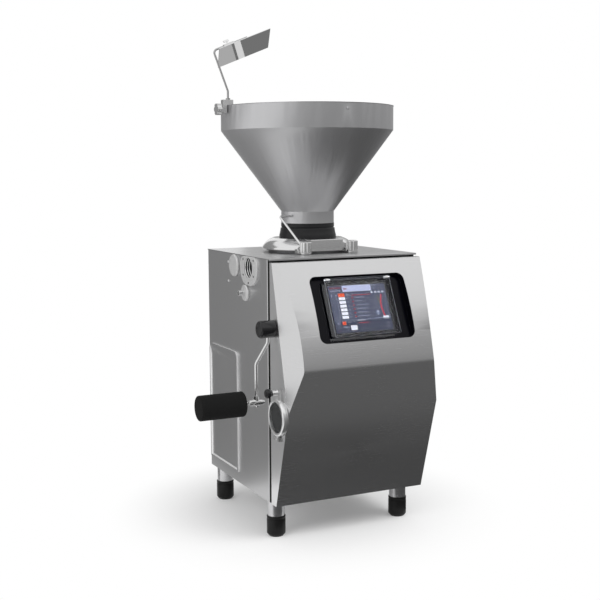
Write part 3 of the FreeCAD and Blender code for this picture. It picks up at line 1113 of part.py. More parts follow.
# Hopper: bowl, collar and base tilt back together on the rear hinge
def hopper():
    bowl = body("hopper_bowl")
    slope = "(bowl_r - neck_r) / (rim_z - cone_z)"
    step = f"(bowl_t * (sqrt(1 + ({slope}) * ({slope})) - {slope}))"
    revolve(bowl, "bowl_section", [
        ("neck_r - bowl_t", "neck_z"), ("neck_r", "neck_z"), ("neck_r", "cone_z"), ("bowl_r", "rim_z"),
        ("bowl_r", "top_z - 2"), ("bowl_r + 2", "top_z"), ("bowl_r - bowl_t - 1", "top_z"),
        ("bowl_r - bowl_t - 1", "top_z - 3"), ("bowl_r - bowl_t", "top_z - 4"),
        ("bowl_r - bowl_t", f"rim_z + {step} * 0.4"), ("neck_r - bowl_t", f"cone_z + {step}"),
    ])
    stud = body("rim_stud", "-Y")
    revolve(stud, "rim_stud_form", [("0", "-bowl_t"), ("4", "-bowl_t"), ("4", "0"), ("6", "0"), ("6", "3"),
                                    ("4", "6"), ("0", "6")])
    at(stud, y="-bowl_r", z="top_z - 22")
    node(join("hopper_shell", bowl, stud))

    collar = body("neck_collar")
    revolve(collar, "collar_section", [
        ("collar_in", "lid_z + lid_t"), ("collar_r", "lid_z + lid_t"), ("collar_r - 1", "lid_z + lid_t + 12"),
        ("neck_r + 3", "neck_z - band_h - 4", "-120"), ("neck_r - 1", "neck_z - band_h - 3"),
        ("neck_r - 1", "neck_z - band_h"), ("neck_r + 1", "neck_z - band_h + 1"), ("neck_r + 1", "neck_z"),
        ("collar_in", "neck_z"),
    ])
    node(collar)

    base = body("base_form")
    revolve(base, "base_section", [
        ("lid_bore", "lid_z"), ("lid_r - 4", "lid_z"), ("lid_r", "lid_z + 4"), ("lid_r", "lid_z + 9"),
        ("lid_top_r + 3", "lid_z + lid_t - 2", "60"), ("lid_top_r", "lid_z + lid_t"),
        ("lid_bore", "lid_z + lid_t"),
    ])
    front = outline(base, "base_front_plan", "XY_Plane",
                    rectangle("-lid_r", "-lid_r - 10", "lid_r", "-lid_front"), "lid_z - 1")
    feature(base, "Pocket", "base_front", front, length="lid_t + 2", Reversed=True)
    for tag, sign in (("left", "-1"), ("right", "1")):
        notch = outline(base, f"base_notch_{tag}", "XY_Plane", rectangle(
            f"{sign} * notch_in", "-lid_r - 10", f"{sign} * notch_out", "-notch_deep"), "lid_z - 1")
        feature(base, "Pocket", f"base_{tag}_notch", notch, length="lid_t + 2", Reversed=True)
    ears = []
    bores = []
    for tag, sign in (("left", "-1"), ("right", "1")):
        x = f"{sign} * screw_x"
        pad = rod(f"ear_pad_{tag}", "ear_r", "ear_t", x, "screw_y", "ear_z")
        web = block(f"ear_web_{tag}", "2 * ear_r", "-screw_y - notch_deep", "ear_t", f"{x} - ear_r",
                    "screw_y", "ear_z")
        heel = block(f"ear_heel_{tag}", "2 * ear_r", "16", "lid_z - ear_z + 10", f"{x} - ear_r",
                     "-notch_deep - 14", "ear_z")
        ears += [pad, web, heel]
        bores.append(rod(f"ear_bore_{tag}", "bolt_rad + run", "40", x, "screw_y", "ear_z - 10"))
    lug = middle_block("lid_lug", "lug_w", "70", "2 * hinge_r - 2", "0", "hinge_y - 35",
                       "hinge_z - hinge_r + 2")
    knuckle = rod("lid_knuckle", "hinge_r", "lug_w", "-lug_w / 2", "hinge_y", "hinge_z", "X")
    bores.append(rod("lid_pin_bore", "hinge_pin_r + run", "lug_w * 2", "-lug_w", "hinge_y", "hinge_z", "X"))
    nose = body("base_nose")
    nose_plan = outline(nose, "nose_plan", "XY_Plane",
                        rectangle("-notch_in", "-lid_front", "notch_in", "-lid_bore - 6"), "lid_z")
    feature(nose, "Pad", "nose_block", nose_plan, length="lid_t")
    crest = number("lid_z + lid_t") - 0.01
    soften(nose, "nose_edge", "3", lambda edge: all(corner.Z > crest for corner in edge.Vertexes)
           and abs(edge.Vertexes[0].X - edge.Vertexes[1].X) > number("notch_in"))
    mouth = rod("lid_mouth", "lid_bore", "lid_t * 3", z="lid_z - lid_t")
    node(cut("hopper_base", join("base_whole", base, nose, lug, knuckle, *ears), mouth, *bores))

    for tag, sign in (("left", "-1"), ("right", "1")):
        knob = body(f"{tag}_clamp_knob")
        disc = circles(knob, f"{tag}_knob_plan", "XY_Plane", [("0", "0", "flute_r")])
        feature(knob, "Pad", f"{tag}_knob_drum", disc, length="flute_h")
        flute = circles(knob, f"{tag}_flute_plan", "XY_Plane", [("flute_r + 2.4", "0", "4.6")])
        groove = feature(knob, "Pocket", f"{tag}_flute", flute, length="flute_h + 1", Reversed=True)
        round_pattern(knob, f"{tag}_flutes", [groove], disc, "flutes")
        crown = number("flute_h") - 0.01
        soften(knob, f"{tag}_knob_crown", "3.5", lambda edge: all(
            corner.Z > crown for corner in edge.Vertexes))
        shank = circles(knob, f"{tag}_shank_plan", "XY_Plane", [("0", "0", "bolt_rad")])
        feature(knob, "Pad", f"{tag}_shank", shank, length="ear_t + 8", Reversed=True)
        node(at(knob, f"{sign} * screw_x", "screw_y", "ear_z + ear_t + seat"))

    bracket_foot = middle_block("bracket_foot", "lug_w + 50", "44", "4", "0", "hinge_y + 4", TOP)
    cheeks = []
    for tag, sign in (("left", "-1"), ("right", "1")):
        x = f"{sign} * (lug_w / 2 + 2 * seat + 5)"
        cheeks.append(middle_block(f"cheek_{tag}", "10", "2 * hinge_r", f"hinge_z - {TOP}", x, "hinge_y",
                                   TOP))
        cheeks.append(rod(f"cheek_round_{tag}", "hinge_r", "10", f"{x} - 5", "hinge_y", "hinge_z", "X"))
    pin_bore = rod("bracket_pin_bore", "hinge_pin_r", "lug_w * 3", "-lug_w * 1.5", "hinge_y", "hinge_z", "X")
    node(cut("hinge_bracket", join("bracket_whole", bracket_foot, *cheeks), pin_bore))
    pin = rod("hopper_hinge_pin", "hinge_pin_r", "lug_w + 28", "-lug_w / 2 - 14", "hinge_y", "hinge_z", "X")
    node(group("hinge_pins", pin, doc.getObject("glass_hinge_pin")))

    # Stay rod: from a pin on the neck, out over the collar and down to the left notch
    pin_angle = math.radians(208)
    reach = number("neck_r + 0.3 * stay_r")
    neck = (reach * math.cos(pin_angle), reach * math.sin(pin_angle), number("cone_z - 16"))
    out = (number("-neck_r * 1.45"), number("-neck_r * 0.62"), number("cone_z - 16"))
    foot = (number("-screw_x + 5"), number("-notch_deep - 14"), number("lid_z + 14"))
    node(shape_node("stay_rod", bent_bar([neck, out, foot], number("stay_r"), 9)))


# Mirror arm on the hopper's rim, so that the operator sees into the hopper
def mirror():
    grip_x = "(-bowl_r + 1)"
    jaw = middle_block("grip_block", "grip_w", "grip_d", "grip_h", f"{grip_x}", "grip_y", "grip_z")
    slot = middle_block("grip_slot", "8", "grip_d * 2", "top_z - grip_z + 1", f"{grip_x} - 0.5", "grip_y",
                        "grip_z - 1 + seat")
    screw_bore = rod("grip_screw_bore", "4 + run", "grip_w", f"{grip_x} - 2", "grip_y", "thumb_z", "-X")
    arm_bore = rod("grip_arm_bore", "arm_r + run", "12", "arm_x", "grip_y", "grip_z + grip_h - 10")
    node(cut("mirror_clamp", jaw, slot, screw_bore, arm_bore))

    star = body("clamp_star_screw", "-X")
    disc = circles(star, "star_plan", "XY_Plane", [("0", "0", "thumb_r")])
    feature(star, "Pad", "star_disc", disc, length="thumb_t")
    gap = circles(star, "star_gap_plan", "XY_Plane", [("thumb_r + 5", "0", "9")])
    groove = feature(star, "Pocket", "star_gap", gap, length="thumb_t + 1", Reversed=True)
    round_pattern(star, "star_gaps", [groove], disc, "6")
    shank = circles(star, "star_shank_plan", "XY_Plane", [("0", "0", "4")])
    feature(star, "Pad", "star_shank", shank, length="24", Reversed=True)
    node(at(star, f"{grip_x} - grip_w / 2 - 7", "grip_y", "thumb_z"))

    foot_z, y = number("grip_z + grip_h - 9"), number("grip_y")
    foot_x, elbow_z = number("arm_x"), number("arm_elbow_z")
    top_x, top_z = number("arm_x - arm_lean"), number("arm_top_z")
    rise = math.radians(number("arm_rise"))
    reach = number("arm_reach")
    bar = bent_bar([
        (foot_x, y, foot_z), (foot_x, y, elbow_z), (top_x, y, top_z),
        (top_x + reach * math.cos(rise), y, top_z + reach * math.sin(rise)),
    ], number("arm_r"), 14)
    collar = Part.makeCylinder(8.5, 6, Vector(foot_x, y, number("grip_z + grip_h + seat")))
    node(shape_node("mirror_rod", bar.fuse(collar)))

    # The plate and its clip turn about the rod's top run
    turn = Rotation(Vector(0, 1, 0), -number("arm_rise"))
    spin = Rotation(Vector(1, 0, 0), number("glass_lean"))
    carry = Placement(Vector(top_x, y, top_z), turn.multiply(spin))
    start = 20
    reach_in = number("arm_r + run")
    plate = Part.makeBox(number("glass_w"), number("glass_h"), number("glass_t"),
                         Vector(start, -10, -number("arm_r + glass_t + seat") - 3))
    plate.Placement = carry
    node(shape_node("mirror_plate", plate))
    clip_len = 44
    drum = Part.makeCylinder(7, clip_len, Vector(start + 26, 0, 0), Vector(1, 0, 0))
    depth = number("arm_r + seat") + 3
    seat_block = Part.makeBox(clip_len, 16, depth, Vector(start + 26, -8, -depth))
    bore = Part.makeCylinder(reach_in, clip_len * 2, Vector(start, 0, 0), Vector(1, 0, 0))
    wing_bore = Part.makeCylinder(2 + number("run"), 20, Vector(start + 48, 0, 0), Vector(0, 0, 1))
    clip = drum.fuse(seat_block).cut(bore).cut(wing_bore)
    clip.Placement = carry
    node(shape_node("mirror_clip", clip))
    shank = Part.makeCylinder(2, 14, Vector(start + 48, 0, reach_in), Vector(0, 0, 1))
    wing = Part.makeBox(22, 3, 9, Vector(start + 37, -1.5, reach_in + 12))
    screw = shank.fuse(wing)
    screw.Placement = carry
    node(shape_node("mirror_wing_screw", screw))


# Vacuum pump on the shelf, piped to the separator and to the vane pump
def vacuum():
    pump_body = body("vacuum_drum", "X")
    revolve(pump_body, "vacuum_section", [
        ("0", "0"), ("vac_r - 12", "0"), ("vac_r - 4", "6"), ("vac_r", "6"), ("vac_r", "24"),
        ("vac_r - 6", "24"), ("vac_r - 6", "vac_len * 0.42"), ("vac_r", "vac_len * 0.42"),
        ("vac_r", "vac_len * 0.48"), ("vac_r - 3", "vac_len * 0.48"), ("vac_r - 3", "vac_len - 20"),
        ("vac_r - 12", "vac_len"), ("0", "vac_len"),
    ])
    at(pump_body, "-vac_len / 2", "vac_y", "vac_z")
    foot_z = "leg_h + wall + beam + shelf"
    feet = [middle_block(f"vacuum_foot_{index}", "40", "vac_r * 1.7", f"vac_z - ({foot_z})",
                         f"{place} * vac_len", "vac_y", foot_z)
            for index, place in enumerate(("-0.3", "0.28"))]
    node(join("vacuum_pump", pump_body, *feet))

    x, drop_y = number("pipe_x"), number(f"{FRONT} + 130")
    pot_back = number("glass_y + pot_r + seat")
    glass_z = number("glass_z")
    vac_y, vac_z = number("vac_y"), number("vac_z")
    inlet_x = number("-vac_len / 2 - seat")
    low = bent_bar([
        (x, pot_back, glass_z), (x, drop_y, glass_z), (x, drop_y, vac_z), (x, vac_y, vac_z),
        (inlet_x, vac_y, vac_z),
    ], number("pipe_r"), 30)
    in_x, in_y = number("pipe_in_x"), number("pipe_in_y")
    deck, loop = number("deck_z - seat"), number("deck_z - pipe_loop")
    side_y, pot_y = number("pipe_in_y - 60"), number("glass_y")
    over, pot_top = number("glass_z + pot_r + 16"), number("glass_z + pot_r + seat")
    high = bent_bar([
        (in_x, in_y, deck), (in_x, in_y, loop), (x, side_y, loop), (x, side_y, over), (x, pot_y, over),
        (x, pot_y, pot_top),
    ], number("pipe_r - 3"), 14)
    node(group("vacuum_pipes", shape_node("pipe_to_pump", low), shape_node("pipe_to_vanes", high)))


# Rear cover with louvres, its screws, and the mains switch
def rear():
    cover = body("rear_cover")
    half = "(vent_w / 2)"
    plan = outline(cover, "vent_plan", "XZ_Plane", rectangle(f"-{half}", "0", half, "vent_h"))
    feature(cover, "Pad", "vent_sheet", plan, length="wall", Reversed=True)
    soften(cover, "vent_corners", "12", lambda edge: along(Vector(0, 1, 0), edge))
    made = []
    for tag, sign in (("left", "-1"), ("right", "1")):
        x0, x1 = f"{sign} * 18", f"{sign} * (18 + slot_w)"
        hood_plan = outline(cover, f"hood_{tag}_plan", "XZ_Plane", rectangle(x0, "60", x1, "78"), "-wall")
        made.append(feature(cover, "Pad", f"hood_{tag}", hood_plan, length="7", Reversed=True))
        slot_plan = outline(cover, f"slot_{tag}_plan", "XZ_Plane",
                            rectangle(f"{sign} * 20", "59", f"{sign} * (16 + slot_w)", "75"), "-wall - 5")
        made.append(feature(cover, "Pocket", f"slot_{tag}", slot_plan, length="wall * 3"))
    rows = cover.newObject("PartDesign::LinearPattern", "louvre_rows")
    rows.Originals = made
    rows.Direction = (plan, ["V_Axis"])
    bind(rows, Length="slot_pitch * (slots - 1)", Occurrences="slots")
    cover.Tip = rows
    doc.recompute()
    holes = [(f"{side} * (vent_w / 2 - 14)", z, "2.6") for side in (-1, 1)
             for z in ("14", "vent_h / 2", "vent_h - 14")]
    hole_plan = circles(cover, "vent_hole_plan", "XZ_Plane", holes)
    feature(cover, "Pocket", "vent_holes", hole_plan, length="wall * 3")
    node(at(cover, "0", "cab_d / 2", "vent_z"))
    screws = []
    for index, (x, z, _) in enumerate(holes):
        shank = rod(f"vent_shank_{index}", "2.5", "wall * 2", x, "cab_d / 2", f"vent_z + {z}", "Y")
        head = rod(f"vent_head_{index}", "5", "3", x, "cab_d / 2 + wall", f"vent_z + {z}", "Y")
        socket = rod(f"vent_socket_{index}", "2", "3", x, "cab_d / 2 + wall + 1.5", f"vent_z + {z}", "Y")
        screws.append(cut(f"vent_screw_{index}", join(f"vent_bolt_{index}", shank, head), socket))
    node(group("cover_screws", *screws, *doc.getObject("side_studs").Links))

    plinth = body("switch_plinth", "Y")
    plan = outline(plinth, "plinth_plan", "XY_Plane", rectangle("-34", "-34", "34", "34"))
    feature(plinth, "Pad", "plinth_block", plan, length="12")
    soften(plinth, "plinth_corners", "6", upright)
    at(plinth, "switch_x", "cab_d / 2", "switch_z")
    stem = rod("switch_stem_bore", "6 + run", "20", "switch_x", "cab_d / 2 - 1", "switch_z", "Y")
    node(cut("switch_base", plinth, stem))
    knob = body("mains_knob", "Y")
    disc = circles(knob, "mains_plan", "XY_Plane", [("0", "0", "24")])
    feature(knob, "Pad", "mains_disc", disc, length="8")
    bar = outline(knob, "mains_bar_plan", "XY_Plane", rectangle("-7", "-23", "7", "23"), "8")
    feature(knob, "Pad", "mains_bar", bar, length="18")
    soften(knob, "mains_round", "3", lambda edge: all(corner.Z > 25.9 for corner in edge.Vertexes))
    stem = circles(knob, "mains_stem_plan", "XY_Plane", [("0", "0", "6")])
    feature(knob, "Pad", "mains_stem", stem, length="11", Reversed=True)
    node(at(knob, "switch_x", "cab_d / 2 + 12 + 2 * seat", "switch_z"))


# Electrical plate and servo drive on the frame's right posts
def electrics():
    inner = "(cab_w / 2 - wall - frame_gap - beam)"
    board = block("electrical_plate", "3", "cab_d - 2 * wall - 2 * frame_gap",
                  "motor_z - plate - 10 - leg_h - board_rise", f"{inner} - 3",
                  f"{FRONT} + wall + frame_gap", "leg_h + board_rise")
    unit = body("servo_drive", "-X")
    plan = outline(unit, "drive_plan", "XY_Plane",
                   rectangle("-drive_w / 2", "-drive_d / 2", "drive_w / 2", "drive_d / 2"))
    feature(unit, "Pad", "drive_box", plan, length="90")
    fin_plan = outline(unit, "fin_plan", "XY_Plane", rectangle(
        "10 - drive_w / 2", "-drive_d / 2 - 1", "14 - drive_w / 2", "drive_d / 2 + 1"), "90")
    fin = feature(unit, "Pocket", "drive_fin", fin_plan, length="16")
    fins = unit.newObject("PartDesign::LinearPattern", "drive_fins")
    fins.Originals = [fin]
    fins.Direction = (plan, ["H_Axis"])
    bind(fins, Length="drive_w - 40", Occurrences="18")
    unit.Tip = fins
    at(unit, f"{inner} - 3", "-60", "leg_h + drive_rise")
    node(group("servo_drive_unit", board, unit))


for make in (legs, base_frame, cabinet, front_cover, flap, pump, drive, left_fittings, hatch, knee_lever,
             sight_glass, hopper, mirror, vacuum, rear, electrics):
    make()
doc.recompute()

faults = [item.Name for item in doc.Objects if {"Invalid", "Error"} & set(item.State)]
faults += [item.Name for item in nodes if item.Shape.isNull() or not item.Shape.isValid()]
if faults:
    raise RuntimeError("failed pieces: " + ", ".join(faults))
for piece in nodes:
    piece.Label = piece.Name
    piece.Shape.exportStep(f"parts/{piece.Name}.step")
    print(piece.Name, len(piece.Shape.Solids), round(piece.Shape.Volume / 1000, 1))
print(len(nodes), "pieces")
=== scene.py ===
# %% [markdown]
# A vacuum filler for sausage meat: a steel cabinet on four feet, a funnel hopper, a sloped display and a
# knee lever. The CAD model gives every solid piece its size and place, so this script only adds what CAD
# can't: soft edges, brushed and polished steel, the picture on the display, lamps and a camera.

# %% Load the frame
import json
import math

import bmesh
import bpy
from mathutils import Matrix, Vector

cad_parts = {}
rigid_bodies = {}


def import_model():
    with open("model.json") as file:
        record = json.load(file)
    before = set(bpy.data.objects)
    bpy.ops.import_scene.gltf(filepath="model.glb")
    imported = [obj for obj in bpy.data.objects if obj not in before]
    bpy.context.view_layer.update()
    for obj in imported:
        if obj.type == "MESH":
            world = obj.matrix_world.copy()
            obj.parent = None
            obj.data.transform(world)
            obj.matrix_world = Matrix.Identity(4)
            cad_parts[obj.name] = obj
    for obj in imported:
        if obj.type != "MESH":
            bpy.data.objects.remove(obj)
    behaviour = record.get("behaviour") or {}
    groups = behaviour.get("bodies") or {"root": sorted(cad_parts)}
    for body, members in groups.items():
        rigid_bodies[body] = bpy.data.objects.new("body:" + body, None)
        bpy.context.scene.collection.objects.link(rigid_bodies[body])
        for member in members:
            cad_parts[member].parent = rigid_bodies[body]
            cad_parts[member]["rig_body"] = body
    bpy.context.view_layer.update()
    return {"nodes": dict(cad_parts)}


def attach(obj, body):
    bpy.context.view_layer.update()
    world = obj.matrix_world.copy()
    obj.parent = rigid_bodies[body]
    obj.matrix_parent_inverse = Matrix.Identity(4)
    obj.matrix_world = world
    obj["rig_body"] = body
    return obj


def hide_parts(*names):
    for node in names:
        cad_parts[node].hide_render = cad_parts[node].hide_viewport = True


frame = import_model()
NODES = frame["nodes"]
MM = 0.001
scene = bpy.context.scene

# %% [markdown]
# Every finish starts as a Principled BSDF. The helpers below keep the node code short: one makes the
# material, one adds a node, and one wires two sockets. A value that is the same all over a surface is set
# on the shader's own socket, so that it survives the export.


# %% Helpers for materials
def new_material(name, colour, roughness, metallic=0.0, **sockets):
    """A Principled material with its plain values set on the shader."""
    material = bpy.data.materials.new(name)
    material.use_nodes = True
    shader = material.node_tree.nodes["Principled BSDF"]
    shader.inputs["Base Color"].default_value = (*colour, 1.0)
    shader.inputs["Roughness"].default_value = roughness
    shader.inputs["Metallic"].default_value = metallic
    for socket, value in sockets.items():
        shader.inputs[socket.replace("_", " ")].default_value = value
    return material, material.node_tree, shader


def add_node(tree, kind, **settings):
    """A node of that kind, with its attributes set."""
    made = tree.nodes.new(kind)
    for key, value in settings.items():
        setattr(made, key, value)
    return made


def wire(tree, source, target):
    tree.links.new(source, target)


# %% [markdown]
# Brushed steel gets its look from thousands of fine parallel scratches. A noise texture that is squeezed
# hard in one direction gives such streaks. The same effect is used by every sheet, so it is a node group
# with the direction of the brushing as an input.


# %% Shared effect: brushed grain
def brushed_grain_group():
    """Streaks along the brushing, mixed in the roughness with faint large smudges left by wiping."""
    group = bpy.data.node_groups.new("brushed grain", "ShaderNodeTree")
    face = group.interface
    face.new_socket("Position", in_out="INPUT", socket_type="NodeSocketVector")
    squeeze = face.new_socket("Squeeze", in_out="INPUT", socket_type="NodeSocketVector")
    squeeze.default_value = (6.0, 6.0, 900.0)
    base = face.new_socket("Roughness", in_out="INPUT", socket_type="NodeSocketFloat")
    base.default_value = 0.3
    spread = face.new_socket("Spread", in_out="INPUT", socket_type="NodeSocketFloat")
    spread.default_value = 0.12
    face.new_socket("Roughness", in_out="OUTPUT", socket_type="NodeSocketFloat")
    face.new_socket("Streaks", in_out="OUTPUT", socket_type="NodeSocketFloat")
    start = add_node(group, "NodeGroupInput")
    end = add_node(group, "NodeGroupOutput")
    stretch = add_node(group, "ShaderNodeVectorMath", operation="MULTIPLY")
    wire(group, start.outputs["Position"], stretch.inputs[0])
    wire(group, start.outputs["Squeeze"], stretch.inputs[1])
    streaks = add_node(group, "ShaderNodeTexNoise")
    streaks.inputs["Scale"].default_value = 1.0
    streaks.inputs["Detail"].default_value = 5.0
    streaks.inputs["Roughness"].default_value = 0.7
    wire(group, stretch.outputs[0], streaks.inputs["Vector"])
    smudges = add_node(group, "ShaderNodeTexNoise")
    smudges.inputs["Scale"].default_value = 5.0
    smudges.inputs["Detail"].default_value = 3.0
    wire(group, start.outputs["Position"], smudges.inputs["Vector"])
    shared = add_node(group, "ShaderNodeMix", data_type="FLOAT")
    shared.inputs["Factor"].default_value = 0.3
    wire(group, streaks.outputs["Fac"], shared.inputs["A"])
    wire(group, smudges.outputs["Fac"], shared.inputs["B"])
    centred = add_node(group, "ShaderNodeMath", operation="SUBTRACT")
    centred.inputs[1].default_value = 0.5
    wire(group, shared.outputs["Result"], centred.inputs[0])
    total = add_node(group, "ShaderNodeMath", operation="MULTIPLY_ADD")
    wire(group, centred.outputs[0], total.inputs[0])
    wire(group, start.outputs["Spread"], total.inputs[1])
    wire(group, start.outputs["Roughness"], total.inputs[2])
    wire(group, total.outputs[0], end.inputs["Roughness"])
    wire(group, streaks.outputs["Fac"], end.inputs["Streaks"])
    return group


BRUSHED_GRAIN = brushed_grain_group()
print("group", BRUSHED_GRAIN.name)

# %% [markdown]
# The sheets differ only in how bright they are, how smooth, and which way the brushing runs. A larger
# number along one axis packs the streaks closer across that axis, so three numbers give a level grain, a
# crosswise one, or an even grit.


# %% Brushed steel sheets
GRAIN_HEIGHT = 0.4 * MM


def steel_sheet(name, colour, squeeze, roughness, spread=0.14, anisotropic=0.0, depth=0.02, tint=0.04,
                metallic=1.0):
    """Stainless steel with a grain along one direction; each streak is a little brighter or darker."""
    material, tree, shader = new_material(name, colour, roughness, metallic, Anisotropic=anisotropic)
    place = add_node(tree, "ShaderNodeTexCoord")
    grain = add_node(tree, "ShaderNodeGroup", node_tree=BRUSHED_GRAIN)
    grain.inputs["Squeeze"].default_value = squeeze
    grain.inputs["Roughness"].default_value = roughness
    grain.inputs["Spread"].default_value = spread
    wire(tree, place.outputs["Object"], grain.inputs["Position"])
    wire(tree, grain.outputs["Roughness"], shader.inputs["Roughness"])
    shade = add_node(tree, "ShaderNodeMix", data_type="RGBA")
    shade.inputs["A"].default_value = (*[c * (1 - tint) for c in colour], 1.0)
    shade.inputs["B"].default_value = (*[min(1.0, c * (1 + tint)) for c in colour], 1.0)
    wire(tree, grain.outputs["Streaks"], shade.inputs["Factor"])
    wire(tree, shade.outputs["Result"], shader.inputs["Base Color"])
    bump = add_node(tree, "ShaderNodeBump")
    bump.inputs["Strength"].default_value = depth
    bump.inputs["Distance"].default_value = GRAIN_HEIGHT
    wire(tree, grain.outputs["Streaks"], bump.inputs["Height"])
    wire(tree, bump.outputs["Normal"], shader.inputs["Normal"])
    return material


LEVEL = (5.0, 5.0, 900.0)
CROSSWISE = (5.0, 700.0, 700.0)
EVEN = (90.0, 90.0, 90.0)
FINE_GRIT = (400.0, 400.0, 400.0)
ROUND_THE_TUBE = (60.0, 60.0, 900.0)
SHEET = steel_sheet("brushed sheet, level grain", (0.60, 0.60, 0.605), LEVEL, 0.30, spread=0.08,
                    anisotropic=0.35, depth=0.008, tint=0.02)
COVER = steel_sheet("brushed front cover", (0.64, 0.64, 0.645), LEVEL, 0.27, spread=0.03, anisotropic=0.45,
                    depth=0.003, tint=0.012)
# A brighter copy of the cover's steel for its flanks: their lighter tone is painted light.
LIGHTER_FLANK_SHEET = steel_sheet("cover flank, painted lighter", (0.86, 0.86, 0.865), LEVEL, 0.30, spread=0.03, anisotropic=0.35,
                    depth=0.003, tint=0.012)
# The hatch's edges: a bright steel that is a painted highlight.
HIGHLIGHT_EDGE_STEEL = steel_sheet("painted highlight on hatch edges", (0.92, 0.92, 0.92), EVEN, 0.45, spread=0.05, metallic=0.4)
TOP_SHEET = steel_sheet("brushed top sheet", (0.56, 0.56, 0.565), CROSSWISE, 0.28, spread=0.08, depth=0.008)
FUNNEL = steel_sheet("spun hopper sheet", (0.60, 0.60, 0.61), LEVEL, 0.41, spread=0.06, anisotropic=0.5,
                     depth=0.008, tint=0.02)
MACHINED = steel_sheet("machined satin steel", (0.66, 0.66, 0.66), EVEN, 0.34, spread=0.1, tint=0.05)
BLASTED = steel_sheet("bead-blasted steel", (0.74, 0.74, 0.74), FINE_GRIT, 0.55, spread=0.1, tint=0.06,
                      metallic=0.75)
# Painted shade: the pump housing's steel is darkened so that its bore reads dark through the outlet.
BORE_SHADE_STEEL = steel_sheet("housing steel darkened as painted bore shade", (0.20, 0.20, 0.205), EVEN, 0.5, spread=0.1)
TUBE = steel_sheet("drawn tube", (0.62, 0.62, 0.63), ROUND_THE_TUBE, 0.25)
print("sheets made")

# %% [markdown]
# Polished parts are almost a mirror. A little roughness that varies keeps them from looking drawn. Paint,
# rubber and plastic take the same small noise, only rougher and with no metal in it. The clear flap and the
# sight glass let light through, so they get a transmission weight as well.


# %% Polished steel, dark paint, plastics and rubber
def fine_grained(name, colour, roughness, metallic, scale, strength, distance, spread=0.1, **sockets):
    """A finish whose roughness and height come from one fine noise."""
    material, tree, shader = new_material(name, colour, roughness, metallic, **sockets)
    place = add_node(tree, "ShaderNodeTexCoord")
    noise = add_node(tree, "ShaderNodeTexNoise")
    noise.inputs["Scale"].default_value = scale
    noise.inputs["Detail"].default_value = 4.0
    wire(tree, place.outputs["Object"], noise.inputs["Vector"])
    ramp = add_node(tree, "ShaderNodeMapRange")
    ramp.inputs["To Min"].default_value = roughness - spread / 2
    ramp.inputs["To Max"].default_value = roughness + spread / 2
    wire(tree, noise.outputs["Fac"], ramp.inputs["Value"])
    wire(tree, ramp.outputs["Result"], shader.inputs["Roughness"])
    bump = add_node(tree, "ShaderNodeBump")
    bump.inputs["Strength"].default_value = strength
    bump.inputs["Distance"].default_value = distance
    wire(tree, noise.outputs["Fac"], bump.inputs["Height"])
    wire(tree, bump.outputs["Normal"], shader.inputs["Normal"])
    return material


POLISHED = fine_grained("polished steel", (0.78, 0.78, 0.78), 0.09, 1.0, 60.0, 0.02, 0.0004, spread=0.06)
TURNED_RING = fine_grained("turned ring", (0.88, 0.88, 0.88), 0.34, 1.0, 60.0, 0.02, 0.0004, spread=0.06)
ROD = fine_grained("drawn rod steel", (0.42, 0.42, 0.42), 0.14, 1.0, 60.0, 0.02, 0.0004, spread=0.06)
MIRROR = fine_grained("polished mirror plate", (0.80, 0.80, 0.80), 0.04, 1.0, 30.0, 0.02, 0.0006,
                      spread=0.04)
SATIN_POLISH = fine_grained("satin-polished casting", (0.72, 0.72, 0.72), 0.17, 1.0, 80.0, 0.02, 0.0004,
                            spread=0.08)
DARK_PAINT = fine_grained("dark satin paint", (0.045, 0.046, 0.05), 0.45, 0.0, 350.0, 0.1, 0.0003)
BLACK_PLASTIC = fine_grained("moulded black plastic", (0.004, 0.004, 0.005), 0.13, 0.0, 300.0, 0.03, 0.0002,
                             spread=0.06, Specular_IOR_Level=0.5)
GLOSS_BLACK = fine_grained("glossy black recess", (0.002, 0.002, 0.004), 0.18, 0.0, 40.0, 0.02, 0.0003,
                           spread=0.04, Specular_IOR_Level=0.12)
# Black rubber for the feet, the lid seal and the belt; the same black is painted shade behind the cover and
# in the flange's screw holes.
RUBBER_AND_PAINTED_SHADE = fine_grained("black rubber, also painted shade", (0.006, 0.006, 0.006), 0.40, 0.0, 300.0, 0.15, 0.0003,
                      Specular_IOR_Level=0.25)
FOAM = fine_grained("black foam", (0.009, 0.009, 0.009), 0.75, 0.0, 900.0, 0.5, 0.0006,
                    Specular_IOR_Level=0.12)
COLLAR = fine_grained("black plastic collar", (0.012, 0.012, 0.013), 0.34, 0.0, 250.0, 0.08, 0.0003,
                      Specular_IOR_Level=0.3)
ALUMINIUM = fine_grained("cast aluminium", (0.55, 0.55, 0.56), 0.42, 1.0, 260.0, 0.15, 0.0003)
CLEAR = fine_grained("clear splash flap", (0.97, 0.98, 1.0), 0.004, 0.0, 20.0, 0.0, 0.0002, spread=0.004,
                     Transmission_Weight=1.0, IOR=1.1, Specular_IOR_Level=0.1)
FLAP_EDGE = fine_grained("cut edge of the flap", (0.62, 0.63, 0.68), 0.25, 0.0, 200.0, 0.02, 0.0002,
                         Transmission_Weight=0.35)
PANE = fine_grained("sight glass", (0.16, 0.17, 0.175), 0.06, 0.0, 20.0, 0.01, 0.0002, spread=0.02,
                    Transmission_Weight=1.0, IOR=1.45)
print("finishes made", len(bpy.data.materials))

# %% [markdown]
# CAD edges are perfectly sharp, and no real sheet or casting has those. A dressed copy of a CAD node gets
# its loose triangles merged, its flat faces joined, and a narrow bevel that catches the light. The bevel is
# a modifier, so that its width can be tried out without making the mesh again.


# %% Dress the CAD nodes
SAME_POINT = 0.01 * MM
NEARLY_FLAT = math.radians(0.4)
EDGE_SEGMENTS = 2


